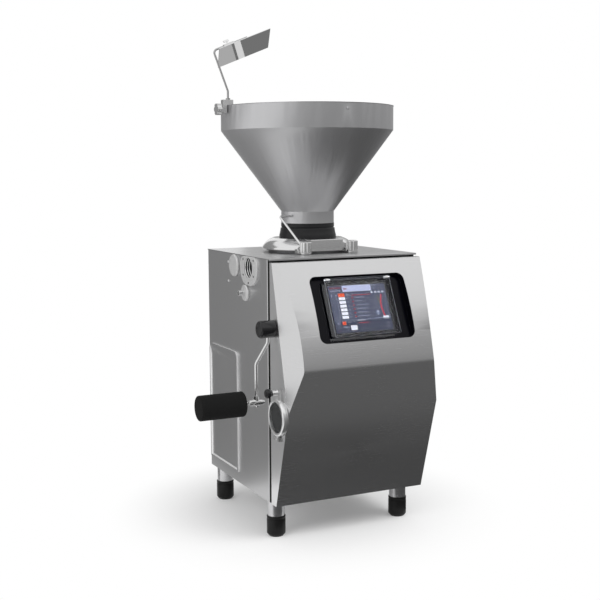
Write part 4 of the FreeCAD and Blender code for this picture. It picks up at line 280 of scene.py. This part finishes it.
def dressed(name, material, edge, angle=32.0):
    """A copy of a CAD node with edges rounded by so many millimetres, riding where the node rides."""
    cad = NODES[name]
    mesh = bpy.data.meshes.new(name + "_dressed")
    work = bmesh.new()
    work.from_mesh(cad.data)
    bmesh.ops.remove_doubles(work, verts=work.verts, dist=SAME_POINT)
    bmesh.ops.dissolve_limit(work, angle_limit=NEARLY_FLAT, verts=work.verts, edges=work.edges)
    for facet in work.faces:
        facet.smooth = True
    work.to_mesh(mesh)
    work.free()
    mesh.set_sharp_from_angle(angle=math.radians(angle))
    mesh.materials.clear()
    mesh.materials.append(material)
    copy = bpy.data.objects.new(name + "_dressed", mesh)
    scene.collection.objects.link(copy)
    if edge:
        rounding = copy.modifiers.new("soft edges", "BEVEL")
        rounding.width = edge * MM
        rounding.segments = EDGE_SEGMENTS
        rounding.limit_method = "ANGLE"
        rounding.angle_limit = math.radians(angle)
        rounding.harden_normals = True
        rounding.use_clamp_overlap = True
    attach(copy, cad["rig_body"])
    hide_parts(name)


print("cad triangles", sum(len(node.data.polygons) for node in NODES.values()))

# %% [markdown]
# Each piece is now matched with its finish and with the width of its soft edge in millimetres. Pieces inside
# the cabinet, and the panes that lie behind a frame, keep the CAD mesh and only get a material. The flap
# keeps sharp edges, because a bevel would bend the view through it.

# %% Which piece gets which finish
FINISHES = {
    "cabinet_shell": (SHEET, 0.8), "top_cover": (TOP_SHEET, 1.0), "front_cover": (COVER, 0.7),
    "side_hatch": (SHEET, 2.0), "rear_cover": (SHEET, 0.8), "base_pan": (SHEET, 0.4),
    "hopper_shell": (FUNNEL, 0.6), "neck_collar": (COLLAR, 0.8), "hopper_base": (SATIN_POLISH, 1.6),
    "outlet_flange": (BLASTED, 1.6), "blanking_cap": (BLASTED, 2.2), "drive_boss": (BLASTED, 1.0),
    "linking_stub": (POLISHED, 0.6), "leg_tubes": (TUBE, 0.4), "foot_caps": (RUBBER_AND_PAINTED_SHADE, 1.5),
    "display_tray": (GLOSS_BLACK, 0.8), "display_panel": (GLOSS_BLACK, 0.8), "flap_clips": (POLISHED, 0.5),
    "knee_hub": (BLACK_PLASTIC, 1.0), "knee_rod": (POLISHED, 0.0), "cross_clamp": (POLISHED, 0.8),
    "clamp_screw": (POLISHED, 0.5), "roller_spindle": (POLISHED, 0.5), "knee_roller": (FOAM, 0.0),
    "sight_glass_housing": (MACHINED, 0.8), "glass_ring": (TURNED_RING, 0.8),
    "sight_glass_knob": (BLACK_PLASTIC, 0.8), "left_clamp_knob": (POLISHED, 0.5),
    "right_clamp_knob": (POLISHED, 0.5), "hinge_bracket": (SHEET, 0.8), "stay_rod": (POLISHED, 0.0),
    "mirror_clamp": (MACHINED, 1.0), "clamp_star_screw": (POLISHED, 1.6),
    "mirror_rod": (ROD, 0.0), "mirror_plate": (MIRROR, 0.5), "mirror_clip": (MACHINED, 0.6),
    "mirror_wing_screw": (POLISHED, 0.4), "switch_base": (BLACK_PLASTIC, 1.0),
    "mains_knob": (BLACK_PLASTIC, 1.0), "cover_screws": (POLISHED, 0.3), "lever_pivot": (MACHINED, 0.5),
}
# cover_frame is black as painted shade in the gap behind the cover; pump_housing takes a darkened steel as
# painted shade in its bore.
INNER_FINISHES = {
    "glass_pane": PANE, "base_frame": DARK_PAINT, "cover_frame": RUBBER_AND_PAINTED_SHADE, "pump_housing": BORE_SHADE_STEEL,
    "lid_seal": RUBBER_AND_PAINTED_SHADE, "shaft_bearings": POLISHED, "pump_rotor": MACHINED, "rotor_vanes": BLACK_PLASTIC,
    "rotor_shaft": MACHINED, "rotor_pulley": ALUMINIUM, "motor_pulley": ALUMINIUM, "drive_belt": RUBBER_AND_PAINTED_SHADE,
    "drive_motor": DARK_PAINT, "hinge_pins": POLISHED, "vacuum_pump": ALUMINIUM, "vacuum_pipes": TUBE,
    "servo_drive_unit": DARK_PAINT, "display_screen": GLOSS_BLACK,
}
for node_name, (finish, edge) in FINISHES.items():
    dressed(node_name, finish, edge)
dressed("splash_flap", CLEAR, edge=0.0, angle=8.0)
for node_name, finish in INNER_FINISHES.items():
    NODES[node_name].data.materials.clear()
    NODES[node_name].data.materials.append(finish)
left_over = sorted(set(NODES) - set(FINISHES) - set(INNER_FINISHES) - {"splash_flap"})
print("dressed", len(FINISHES) + 1, "kept as they are", len(INNER_FINISHES), "left", left_over)

# %% [markdown]
# The display lies back by almost 25 degrees. Three directions describe it: along its width, up its slope,
# and straight out of the glass. The flap in front of it and the picture behind it both use them.

# %% The slope of the display
TILT = math.radians(24.8)
ALONG_U = Vector((1.0, 0.0, 0.0))
ALONG_V = Vector((0.0, math.sin(TILT), math.cos(TILT)))
OUT = Vector((0.0, -math.cos(TILT), math.sin(TILT)))
print("out of the glass", tuple(round(v, 3) for v in OUT))

# %% [markdown]
# Some faces of a piece look different from the rest. The cabinet's front behind the cover is black, a
# painted shade that makes the gap behind the cover read dark, and the flange's screw holes are black as
# painted shade.
# The cover's flanks take a brighter copy of its steel, a painted lighter side; the hatch's edges take a
# bright steel as a painted highlight; and the flap's cut edges are frosted. A face is chosen by where it
# lies or which way it looks, and gets the second material slot.


# %% Second finishes on dressed pieces
def repaint(name, material, chosen):
    """Gives a second material to the faces that the test picks."""
    mesh = bpy.data.objects[name + "_dressed"].data
    mesh.materials.append(material)
    for facet in mesh.polygons:
        if chosen(facet):
            facet.material_index = 1


SHADE_GAP_Y = -300.0 * MM
OUTLET = Vector((-323.0, -142.5, 1020.0)) * MM
SCREW_R = 4.6 * MM
SCREW_Y, SCREW_Z, LOW_SCREW_Z = 49.0 * MM, 30.0 * MM, -58.0 * MM
SCREWS = [(side * SCREW_Y, level * SCREW_Z) for side in (-1, 1) for level in (-1, 1)] + [(0.0, LOW_SCREW_Z)]


def in_screw_hole(facet):
    """Whether a face of the outlet flange belongs to one of its five screw holes."""
    y, z = facet.center.y - OUTLET.y, facet.center.z - OUTLET.z
    return any(math.hypot(y - screw_y, z - screw_z) < SCREW_R for screw_y, screw_z in SCREWS)


# Painted shade: the cabinet's front face behind the cover turns black, so the gap behind the cover reads
# dark.
repaint("cabinet_shell", RUBBER_AND_PAINTED_SHADE, lambda facet: facet.center.y < SHADE_GAP_Y and facet.normal.y < -0.55)
# Painted lighter side: the cover's flanks take the brighter copy of its steel.
repaint("front_cover", LIGHTER_FLANK_SHEET, lambda facet: abs(facet.normal.x) > 0.99)
# Painted highlight: the hatch's edge faces take the bright steel.
repaint("side_hatch", HIGHLIGHT_EDGE_STEEL, lambda facet: abs(facet.normal.x) < 0.98)
repaint("splash_flap", FLAP_EDGE, lambda facet: abs(facet.normal @ OUT) < 0.6)
# Painted shade: the faces of the flange's five screw holes turn black, so the holes read dark.
repaint("outlet_flange", RUBBER_AND_PAINTED_SHADE, in_screw_hole)
for name in ("cabinet_shell", "front_cover", "side_hatch", "splash_flap", "outlet_flange"):
    facets = bpy.data.objects[name + "_dressed"].data.polygons
    print(name, "second finish on", sum(facet.material_index for facet in facets), "faces")

# %% [markdown]
# The display shows a menu: a pale header, an orange button, a column of white fields and a red curve. It
# could be an image, but small coloured faces stay sharp at any distance and need no file. Each block is a
# flat face just above the screen, placed by its share of the screen's width and height.


# %% Tools for the picture on the display
WINDOW = Vector((5.0, -451.5, 885.0)) * MM
SCREEN_FACE = -14.6
SCREEN_W, SCREEN_H = 239.0, 181.0
SHIFT_U, SHIFT_V = -3.0, 1.0
BACK, PLAIN_TILE, TOP_TILE = 0.1, 0.2, 0.3
BAR_GAP = 0.006
DISC_SIDES = 20
picture = bmesh.new()
tint = picture.loops.layers.float_color.new("tint")


def on_screen(across, down, lift, width=1.0, height=1.0):
    """A placing matrix on the display; across and down are shares of the screen from its top left."""
    u, v = (across - 0.5) * SCREEN_W + SHIFT_U, (0.5 - down) * SCREEN_H + SHIFT_V
    origin = WINDOW + (ALONG_U * u + ALONG_V * v + OUT * (SCREEN_FACE + lift)) * MM
    pose = Matrix.Identity(4)
    for column, axis in enumerate((ALONG_U * width * MM, ALONG_V * height * MM, OUT * MM, origin)):
        for row in range(3):
            pose[row][column] = axis[row]
    return pose


def paint(made, colour):
    """Writes the colour into the new faces' corners, where the display's material reads it."""
    for facet in {facet for vert in made["verts"] for facet in vert.link_faces}:
        for loop in facet.loops:
            loop[tint] = (*colour, 1.0)


def tile(left, right, top, foot, colour, lift=PLAIN_TILE):
    """A flat block between two columns and two rows, given as shares of the screen."""
    place = on_screen((left + right) / 2, (top + foot) / 2, lift, (right - left) * SCREEN_W,
                      (foot - top) * SCREEN_H)
    paint(bmesh.ops.create_grid(picture, x_segments=1, y_segments=1, size=0.5, matrix=place), colour)


def disc(across, down, radius, colour, lift=PLAIN_TILE):
    """A round spot; its radius is in millimetres."""
    place = on_screen(across, down, lift)
    made = bmesh.ops.create_circle(picture, cap_ends=True, segments=DISC_SIDES, radius=radius, matrix=place)
    paint(made, colour)


def bars(left, right, middle, colour, thick=0.012, longest=0.022):
    """A row of short plain bars with gaps, between two columns. Their lengths follow a slow wave."""
    at, count = left, 0
    while at < right:
        length = longest * (0.55 + 0.45 * math.sin(2.1 * count + 11.0 * middle))
        tile(at, min(right, at + length), middle - thick / 2, middle + thick / 2, colour)
        at += length + BAR_GAP
        count += 1


print("screen", SCREEN_W, "by", SCREEN_H, "mm")

# %% [markdown]
# The picture is laid out from the back forwards: first the dark ground, then the header and the fields, and
# last the spots that lie on top. Each row of the menu has the same make-up, so one loop draws them all, and
# the curve is a chain of short blocks along half a sine wave.

# %% The menu, from its ground to its curve
NIGHT, SLATE, HEADER = (0.055, 0.062, 0.10), (0.088, 0.097, 0.148), (0.50, 0.54, 0.76)
ORANGE, RED, DIM_RED = (0.80, 0.12, 0.05), (0.52, 0.035, 0.05), (0.26, 0.05, 0.07)
CURVE_RED = (0.66, 0.05, 0.07)
FIELD, MIST, HAZE, OLIVE = (0.86, 0.87, 0.95), (0.42, 0.46, 0.60), (0.17, 0.20, 0.30), (0.30, 0.30, 0.10)
tile(0.0, 1.0, 0.0, 1.0, NIGHT, BACK)
tile(0.0, 1.0, 0.0, 0.745, SLATE, BACK + 0.05)
tile(0.246, 0.754, 0.0, 0.136, HEADER)
bars(0.27, 0.33, 0.07, DIM_RED, 0.03)
bars(0.345, 0.41, 0.065, HAZE, 0.02)
bars(0.46, 0.58, 0.065, MIST)
bars(0.03, 0.21, 0.045, DIM_RED, 0.03)
bars(0.03, 0.21, 0.105, MIST, 0.022, 0.014)
bars(0.78, 0.86, 0.02, MIST)
bars(0.78, 0.84, 0.085, HAZE, 0.03)
tile(0.155, 0.265, 0.165, 0.24, ORANGE)
bars(0.29, 0.345, 0.205, MIST, 0.018)
bars(0.03, 0.06, 0.205, MIST, 0.035)
bars(0.105, 0.135, 0.205, MIST, 0.03)
tile(0.38, 0.72, 0.209, 0.219, RED)
for across in (0.75, 0.815, 0.88, 0.945):
    disc(across, 0.175, 4.6, MIST)
    disc(across, 0.172, 2.4, FIELD, TOP_TILE)
ROW_ENDS = (0.60, 0.55, 0.66, 0.63, 0.61, 0.64)
FIRST_ROW, ROW_STEP = 0.276, 0.08
for row, end in enumerate(ROW_ENDS):
    level = FIRST_ROW + ROW_STEP * row
    tile(0.155, 0.265, level - 0.03, level + 0.03, FIELD)
    bars(0.055, 0.075, level, HAZE, 0.03)
    bars(0.115, 0.13, level, MIST, 0.03, 0.012)
    bars(0.292, 0.318, level, MIST, 0.02, 0.012)
    tile(0.375, 0.40, level - 0.02, level + 0.01, DIM_RED)
    disc(0.40, level - 0.005, 1.6, RED, TOP_TILE)
    bars(0.44, end, level - 0.01, MIST)
tile(0.0, 1.0, 0.738, 0.75, HAZE, TOP_TILE)
bars(0.41, 0.54, 0.755, FIELD, 0.016)
bars(0.72, 0.83, 0.735, MIST, 0.016)
tile(0.135, 0.195, 0.765, 0.835, ORANGE)
disc(0.165, 0.80, 2.6, RED, TOP_TILE)
bars(0.05, 0.09, 0.80, MIST, 0.05)
for across in (0.235, 0.285, 0.345):
    disc(across, 0.78, 1.8, MIST)
tile(0.41, 0.60, 0.806, 0.816, RED)
disc(0.06, 0.89, 3.2, HAZE)
bars(0.04, 0.08, 0.955, DIM_RED)
bars(0.15, 0.235, 0.885, MIST, 0.022)
bars(0.18, 0.22, 0.945, HAZE)
tile(0.265, 0.375, 0.855, 0.955, FIELD)
bars(0.285, 0.33, 0.875, MIST, 0.02)
tile(0.865, 0.965, 0.695, 0.755, FIELD)
bars(0.90, 0.94, 0.86, MIST)
bars(0.91, 0.95, 0.92, MIST, 0.02)
disc(0.79, 0.62, 10.0, HAZE)
disc(0.79, 0.60, 4.0, MIST, TOP_TILE)
for across, down in ((0.765, 0.42), (0.83, 0.43), (0.77, 0.50), (0.835, 0.51)):
    disc(across, down, 1.8, MIST)
CURVE_BLOCKS = 16
for step in range(CURVE_BLOCKS):
    share = step / (CURVE_BLOCKS - 1)
    down = 0.23 + 0.44 * share
    across = 0.905 - 0.032 * math.sin(math.pi * share) - 0.005 * share
    tile(across - 0.008, across + 0.009, down, down + 0.034, CURVE_RED, TOP_TILE)
    tile(0.835 + 0.012 * share, 0.842 + 0.012 * share, 0.24 + 0.17 * share, 0.255 + 0.17 * share, OLIVE)
    tile(0.775 + 0.008 * share, 0.781 + 0.008 * share, 0.24 + 0.15 * share, 0.255 + 0.15 * share, HAZE)
print("blocks in the picture", len(picture.faces))

# %% [markdown]
# The screen gives its own light, so the colour goes into the emission and the surface itself is black. The
# finished mesh rides on the machine's fixed body, as the screen does.

# %% The lit screen
picture_mesh = bpy.data.meshes.new("display_picture")
picture.to_mesh(picture_mesh)
picture.free()
display_picture = bpy.data.objects.new("display_picture", picture_mesh)
scene.collection.objects.link(display_picture)
SCREEN_LIGHT, tree, shader = new_material("lit display", (0.0, 0.0, 0.0), 0.25)
reader = add_node(tree, "ShaderNodeVertexColor", layer_name="tint")
wire(tree, reader.outputs["Color"], shader.inputs["Emission Color"])
shader.inputs["Emission Strength"].default_value = 1.0
shader.inputs["Specular IOR Level"].default_value = 0.02
picture_mesh.materials.append(SCREEN_LIGHT)
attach(display_picture, "root")
print("display tiles", len(picture_mesh.polygons))

# %% [markdown]
# The outlet's bore has bright turned bands like a coarse thread. A ring is spun from a small profile round
# the bore's axis, and repeated down the bore. The bands are seen from inside the bore, so their faces are
# turned towards its axis.

# %% Bands in the outlet bore
BORE_R, BAND_IN = 37.8 * MM, 1.4 * MM
BAND_COUNT, FIRST_BAND, BAND_STEP = 3, 3.0 * MM, 9.0 * MM
BORE_STEPS = 64
bands = bmesh.new()
for step in range(BAND_COUNT):
    depth = FIRST_BAND + step * BAND_STEP
    rim = [(depth, BORE_R), (depth + BAND_IN, BORE_R - BAND_IN), (depth + 3 * BAND_IN, BORE_R - BAND_IN),
           (depth + 4 * BAND_IN, BORE_R)]
    start = [bands.verts.new(OUTLET + Vector((x, 0.0, r))) for x, r in rim]
    edges = [bands.edges.new(pair) for pair in zip(start, start[1:])]
    bmesh.ops.spin(bands, geom=start + edges, cent=OUTLET, axis=(1.0, 0.0, 0.0), angle=math.tau,
                   steps=BORE_STEPS, use_merge=True)
bmesh.ops.recalc_face_normals(bands, faces=bands.faces)
bmesh.ops.reverse_faces(bands, faces=bands.faces)
bands_mesh = bpy.data.meshes.new("outlet_bands")
bands.to_mesh(bands_mesh)
bands.free()
for facet in bands_mesh.polygons:
    facet.use_smooth = True
bands_mesh.materials.append(POLISHED)
outlet_bands = bpy.data.objects.new("outlet_bands", bands_mesh)
scene.collection.objects.link(outlet_bands)
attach(outlet_bands, "root")
print("bands", len(bands_mesh.polygons))

# %% [markdown]
# Steel shows what stands round it, so grey cards are placed where the sheets look, as in a photo studio.
# A card is a plain face that gives an even light, and only reflections see it, so it neither lights the
# machine nor shows behind it.


# %% Making a card
CARD_TOP = 3.0
CARD_LIFT = 0.004
WALL_FOOT = 0.006
WALL_STEPS = 24


def glow(name, shades):
    """A card's even light; shades is a list of (height in metres, grey), dark below and pale above."""
    material = bpy.data.materials.new(name)
    material.use_nodes = True
    tree = material.node_tree
    tree.nodes.remove(tree.nodes["Principled BSDF"])
    light = add_node(tree, "ShaderNodeEmission")
    wire(tree, light.outputs[0], tree.nodes["Material Output"].inputs["Surface"])
    place = add_node(tree, "ShaderNodeTexCoord")
    split = add_node(tree, "ShaderNodeSeparateXYZ")
    wire(tree, place.outputs["Object"], split.inputs[0])
    height = add_node(tree, "ShaderNodeMapRange")
    height.inputs["From Max"].default_value = CARD_TOP
    wire(tree, split.outputs["Z"], height.inputs["Value"])
    ramp = add_node(tree, "ShaderNodeValToRGB")
    for index, (z, grey) in enumerate(shades):
        stop = ramp.color_ramp.elements[index] if index < 2 else ramp.color_ramp.elements.new(1.0)
        stop.position = z / CARD_TOP
        stop.color = (grey, grey, grey, 1.0)
    wire(tree, height.outputs["Result"], ramp.inputs["Fac"])
    wire(tree, ramp.outputs["Color"], light.inputs["Color"])
    return material


def place_card(name, work, shades):
    """Turns the bmesh into a card that only reflections see."""
    mesh = bpy.data.meshes.new(name)
    work.to_mesh(mesh)
    work.free()
    mesh.materials.append(glow(name, shades))
    made = bpy.data.objects.new(name, mesh)
    scene.collection.objects.link(made)
    made.visible_camera = False
    made.visible_diffuse = False
    made.visible_shadow = False
    made.visible_transmission = False


def flat_card(name, grey, low, high, height=CARD_LIFT):
    """A flat card between two corners, just above the floor if no height is given."""
    work = bmesh.new()
    bmesh.ops.create_grid(work, x_segments=1, y_segments=1, size=0.5)
    size = Matrix.Diagonal((high[0] - low[0], high[1] - low[1], 1.0, 1.0))
    middle = Vector(((low[0] + high[0]) / 2, (low[1] + high[1]) / 2, height))
    bmesh.ops.transform(work, matrix=Matrix.Translation(middle) @ size, verts=work.verts)
    place_card(name, work, [(0.0, grey), (CARD_TOP, grey)])


def wall_card(name, shades, radius, start, sweep, height, middle=(0.0, 0.0)):
    """A card bent round the machine, from start over sweep: degrees from the front towards the right."""
    work = bmesh.new()
    first = math.radians(start)
    side = Vector((middle[0] + radius * math.sin(first), middle[1] - radius * math.cos(first), WALL_FOOT))
    pair = [work.verts.new(side), work.verts.new(side + Vector((0.0, 0.0, height)))]
    edge = work.edges.new(pair)
    bmesh.ops.spin(work, geom=[*pair, edge], cent=(*middle, 0.0), axis=(0.0, 0.0, 1.0),
                   angle=math.radians(sweep), steps=WALL_STEPS)
    place_card(name, work, shades)


print("cards stand up to", CARD_TOP, "m high")

# %% [markdown]
# The front cover looks down at the floor before it, so the card there is dark, and the left wall looks at a
# mid-grey one. A tall card bent round the front and the right gives the hopper's rim its even grey, and a
# second one stands behind on the left. Four small cards in the hopper's mouth are what the mirror shows.

# %% The cards round the machine
flat_card("near_floor_card", 0.085, (-0.7, -0.85), (3.2, -0.4))
flat_card("front_floor_card", 0.145, (-0.7, -3.1), (3.2, -0.85))
flat_card("left_floor_card", 0.32, (-3.4, -1.6), (-1.5, 0.35))
flat_card("back_left_floor_card", 0.27, (-1.9, 0.35), (-0.45, 2.2))
flat_card("right_floor_card", 0.11, (0.34, -0.4), (3.6, 3.0))
MOUTH_Z, MOUTH_FRONT, MOUTH_BACK = 1.63, -0.06, 0.2
MOUTH_CARDS = [("mirror_left_card", 0.48, -0.26, -0.085), ("mirror_dark_card", 0.17, -0.085, -0.07),
               ("mirror_bright_card", 0.80, -0.07, -0.03), ("mirror_right_card", 0.20, -0.03, 0.24)]
for name, grey, left, right in MOUTH_CARDS:
    flat_card(name, grey, (left, MOUTH_FRONT), (right, MOUTH_BACK), MOUTH_Z)
wall_card("front_card", [(0.0, 0.14), (1.2, 0.38), (1.75, 0.45), (2.7, 1.0)], 3.2, -50.0, 212.0, 2.7)
wall_card("back_left_card", [(0.0, 0.27), (2.4, 0.33)], 1.7, 170.0, 68.0, 2.4, (-0.3, 0.0))

# %% [markdown]
# A large soft lamp at the front right and a weaker one at the left light the machine, and the world fills
# the rest. Both lamps stay out of reflections, where the cards do their work. The world is plain white to
# the eye, and weaker as a light, so that the background is white without more light on the machine.


# %% Lamps and world
def lamp(name, power, size, place, target):
    """A rectangular lamp that looks at its target."""
    light = bpy.data.lights.new(name, "AREA")
    light.shape = "RECTANGLE"
    light.size, light.size_y = size
    light.energy = power
    made = bpy.data.objects.new(name, light)
    scene.collection.objects.link(made)
    made.location = place
    made.visible_glossy = False
    made.rotation_euler = (Vector(target) - Vector(place)).to_track_quat("-Z", "Y").to_euler()


def seen_directly(tree):
    """One where a surface is seen straight, in a reflection or through glass, and nought elsewhere."""
    path = add_node(tree, "ShaderNodeLightPath")
    seen = add_node(tree, "ShaderNodeMath", operation="MAXIMUM")
    seen_all = add_node(tree, "ShaderNodeMath", operation="MAXIMUM")
    wire(tree, path.outputs["Is Camera Ray"], seen.inputs[0])
    wire(tree, path.outputs["Is Glossy Ray"], seen.inputs[1])
    wire(tree, seen.outputs[0], seen_all.inputs[0])
    wire(tree, path.outputs["Is Transmission Ray"], seen_all.inputs[1])
    return seen_all.outputs[0]


FILL_LIGHT = 0.55
WHITE = (1.0, 1.0, 1.0, 1.0)
lamp("key", 90.0, (2.2, 2.2), (1.6, -2.6, 3.4), (0.0, -0.2, 1.0))
lamp("fill", 35.0, (1.6, 2.4), (-3.0, -1.6, 2.2), (0.0, 0.0, 0.9))
world = bpy.data.worlds.new("studio")
scene.world = world
world.use_nodes = True
tree = world.node_tree
backdrop = tree.nodes["Background"]
backdrop.inputs["Color"].default_value = WHITE
strength = add_node(tree, "ShaderNodeMapRange")
strength.inputs["To Min"].default_value = FILL_LIGHT
strength.inputs["To Max"].default_value = 1.0
wire(tree, seen_directly(tree), strength.inputs["Value"])
wire(tree, strength.outputs["Result"], backdrop.inputs["Strength"])
print("lamps", len(bpy.data.lights), "fill", FILL_LIGHT)

# %% [markdown]
# A pale floor takes the soft shadow. Away from the machine it blends into plain white, so that no edge of
# the floor shows against the background. The blend depends on the distance from the machine's middle.

# %% Floor
FLOOR_HALF = 9.0
SHADOW_FROM, SHADOW_TO, SHADOW_VEIL = 0.28, 0.85, 0.19
floor_work = bmesh.new()
bmesh.ops.create_grid(floor_work, x_segments=1, y_segments=1, size=FLOOR_HALF)
floor_mesh = bpy.data.meshes.new("floor")
floor_work.to_mesh(floor_mesh)
floor_work.free()
floor = bpy.data.objects.new("floor", floor_mesh)
scene.collection.objects.link(floor)
FLOOR, tree, shader = new_material("pale floor", (0.95, 0.95, 0.95), 0.9)
white = add_node(tree, "ShaderNodeEmission")
white.inputs["Color"].default_value = WHITE
blend = add_node(tree, "ShaderNodeMixShader")
place = add_node(tree, "ShaderNodeTexCoord")
distance = add_node(tree, "ShaderNodeVectorMath", operation="LENGTH")
wire(tree, place.outputs["Object"], distance.inputs[0])
fade = add_node(tree, "ShaderNodeMapRange", interpolation_type="SMOOTHSTEP")
fade.inputs["From Min"].default_value = SHADOW_FROM
fade.inputs["From Max"].default_value = SHADOW_TO
fade.inputs["To Min"].default_value = SHADOW_VEIL
wire(tree, distance.outputs["Value"], fade.inputs["Value"])
share = add_node(tree, "ShaderNodeMath", operation="MULTIPLY")
wire(tree, fade.outputs["Result"], share.inputs[0])
wire(tree, seen_directly(tree), share.inputs[1])
wire(tree, share.outputs[0], blend.inputs["Fac"])
wire(tree, shader.outputs["BSDF"], blend.inputs[1])
wire(tree, white.outputs[0], blend.inputs[2])
wire(tree, blend.outputs[0], tree.nodes["Material Output"].inputs["Surface"])
floor_mesh.materials.append(FLOOR)
print("shadow fades out", SHADOW_TO, "m from the middle")

# %% [markdown]
# The camera stands where the photo's camera stood: to the front left, a little above the machine's middle,
# and it looks slightly down. Its three axes are worked out from its turn, its dip and a very small roll.

# %% Camera
CAMERA_PLACE = Vector((-1.8931, -3.8547, 1.3801))
FOCAL_LENGTH, FILM_WIDTH = 63.74, 36.0
turn, dip, roll = math.radians(25.7255), math.radians(6.857), math.radians(-0.344)
ahead = Vector((math.sin(turn) * math.cos(dip), math.cos(turn) * math.cos(dip), -math.sin(dip)))
level_right = Vector((math.cos(turn), -math.sin(turn), 0.0))
level_up = level_right.cross(ahead)
right = level_right * math.cos(roll) + level_up * math.sin(roll)
up = level_up * math.cos(roll) - level_right * math.sin(roll)
lens = bpy.data.cameras.new("camera")
lens.lens = FOCAL_LENGTH
lens.sensor_width = FILM_WIDTH
camera = bpy.data.objects.new("camera", lens)
scene.collection.objects.link(camera)
pose = Matrix.Identity(4)
for column, axis in enumerate((right, up, -ahead)):
    for row in range(3):
        pose[row][column] = axis[row]
pose.translation = CAMERA_PLACE
camera.matrix_world = pose
scene.camera = camera
scene.view_settings.view_transform = "Standard"
print("camera", tuple(round(v, 3) for v in camera.location))
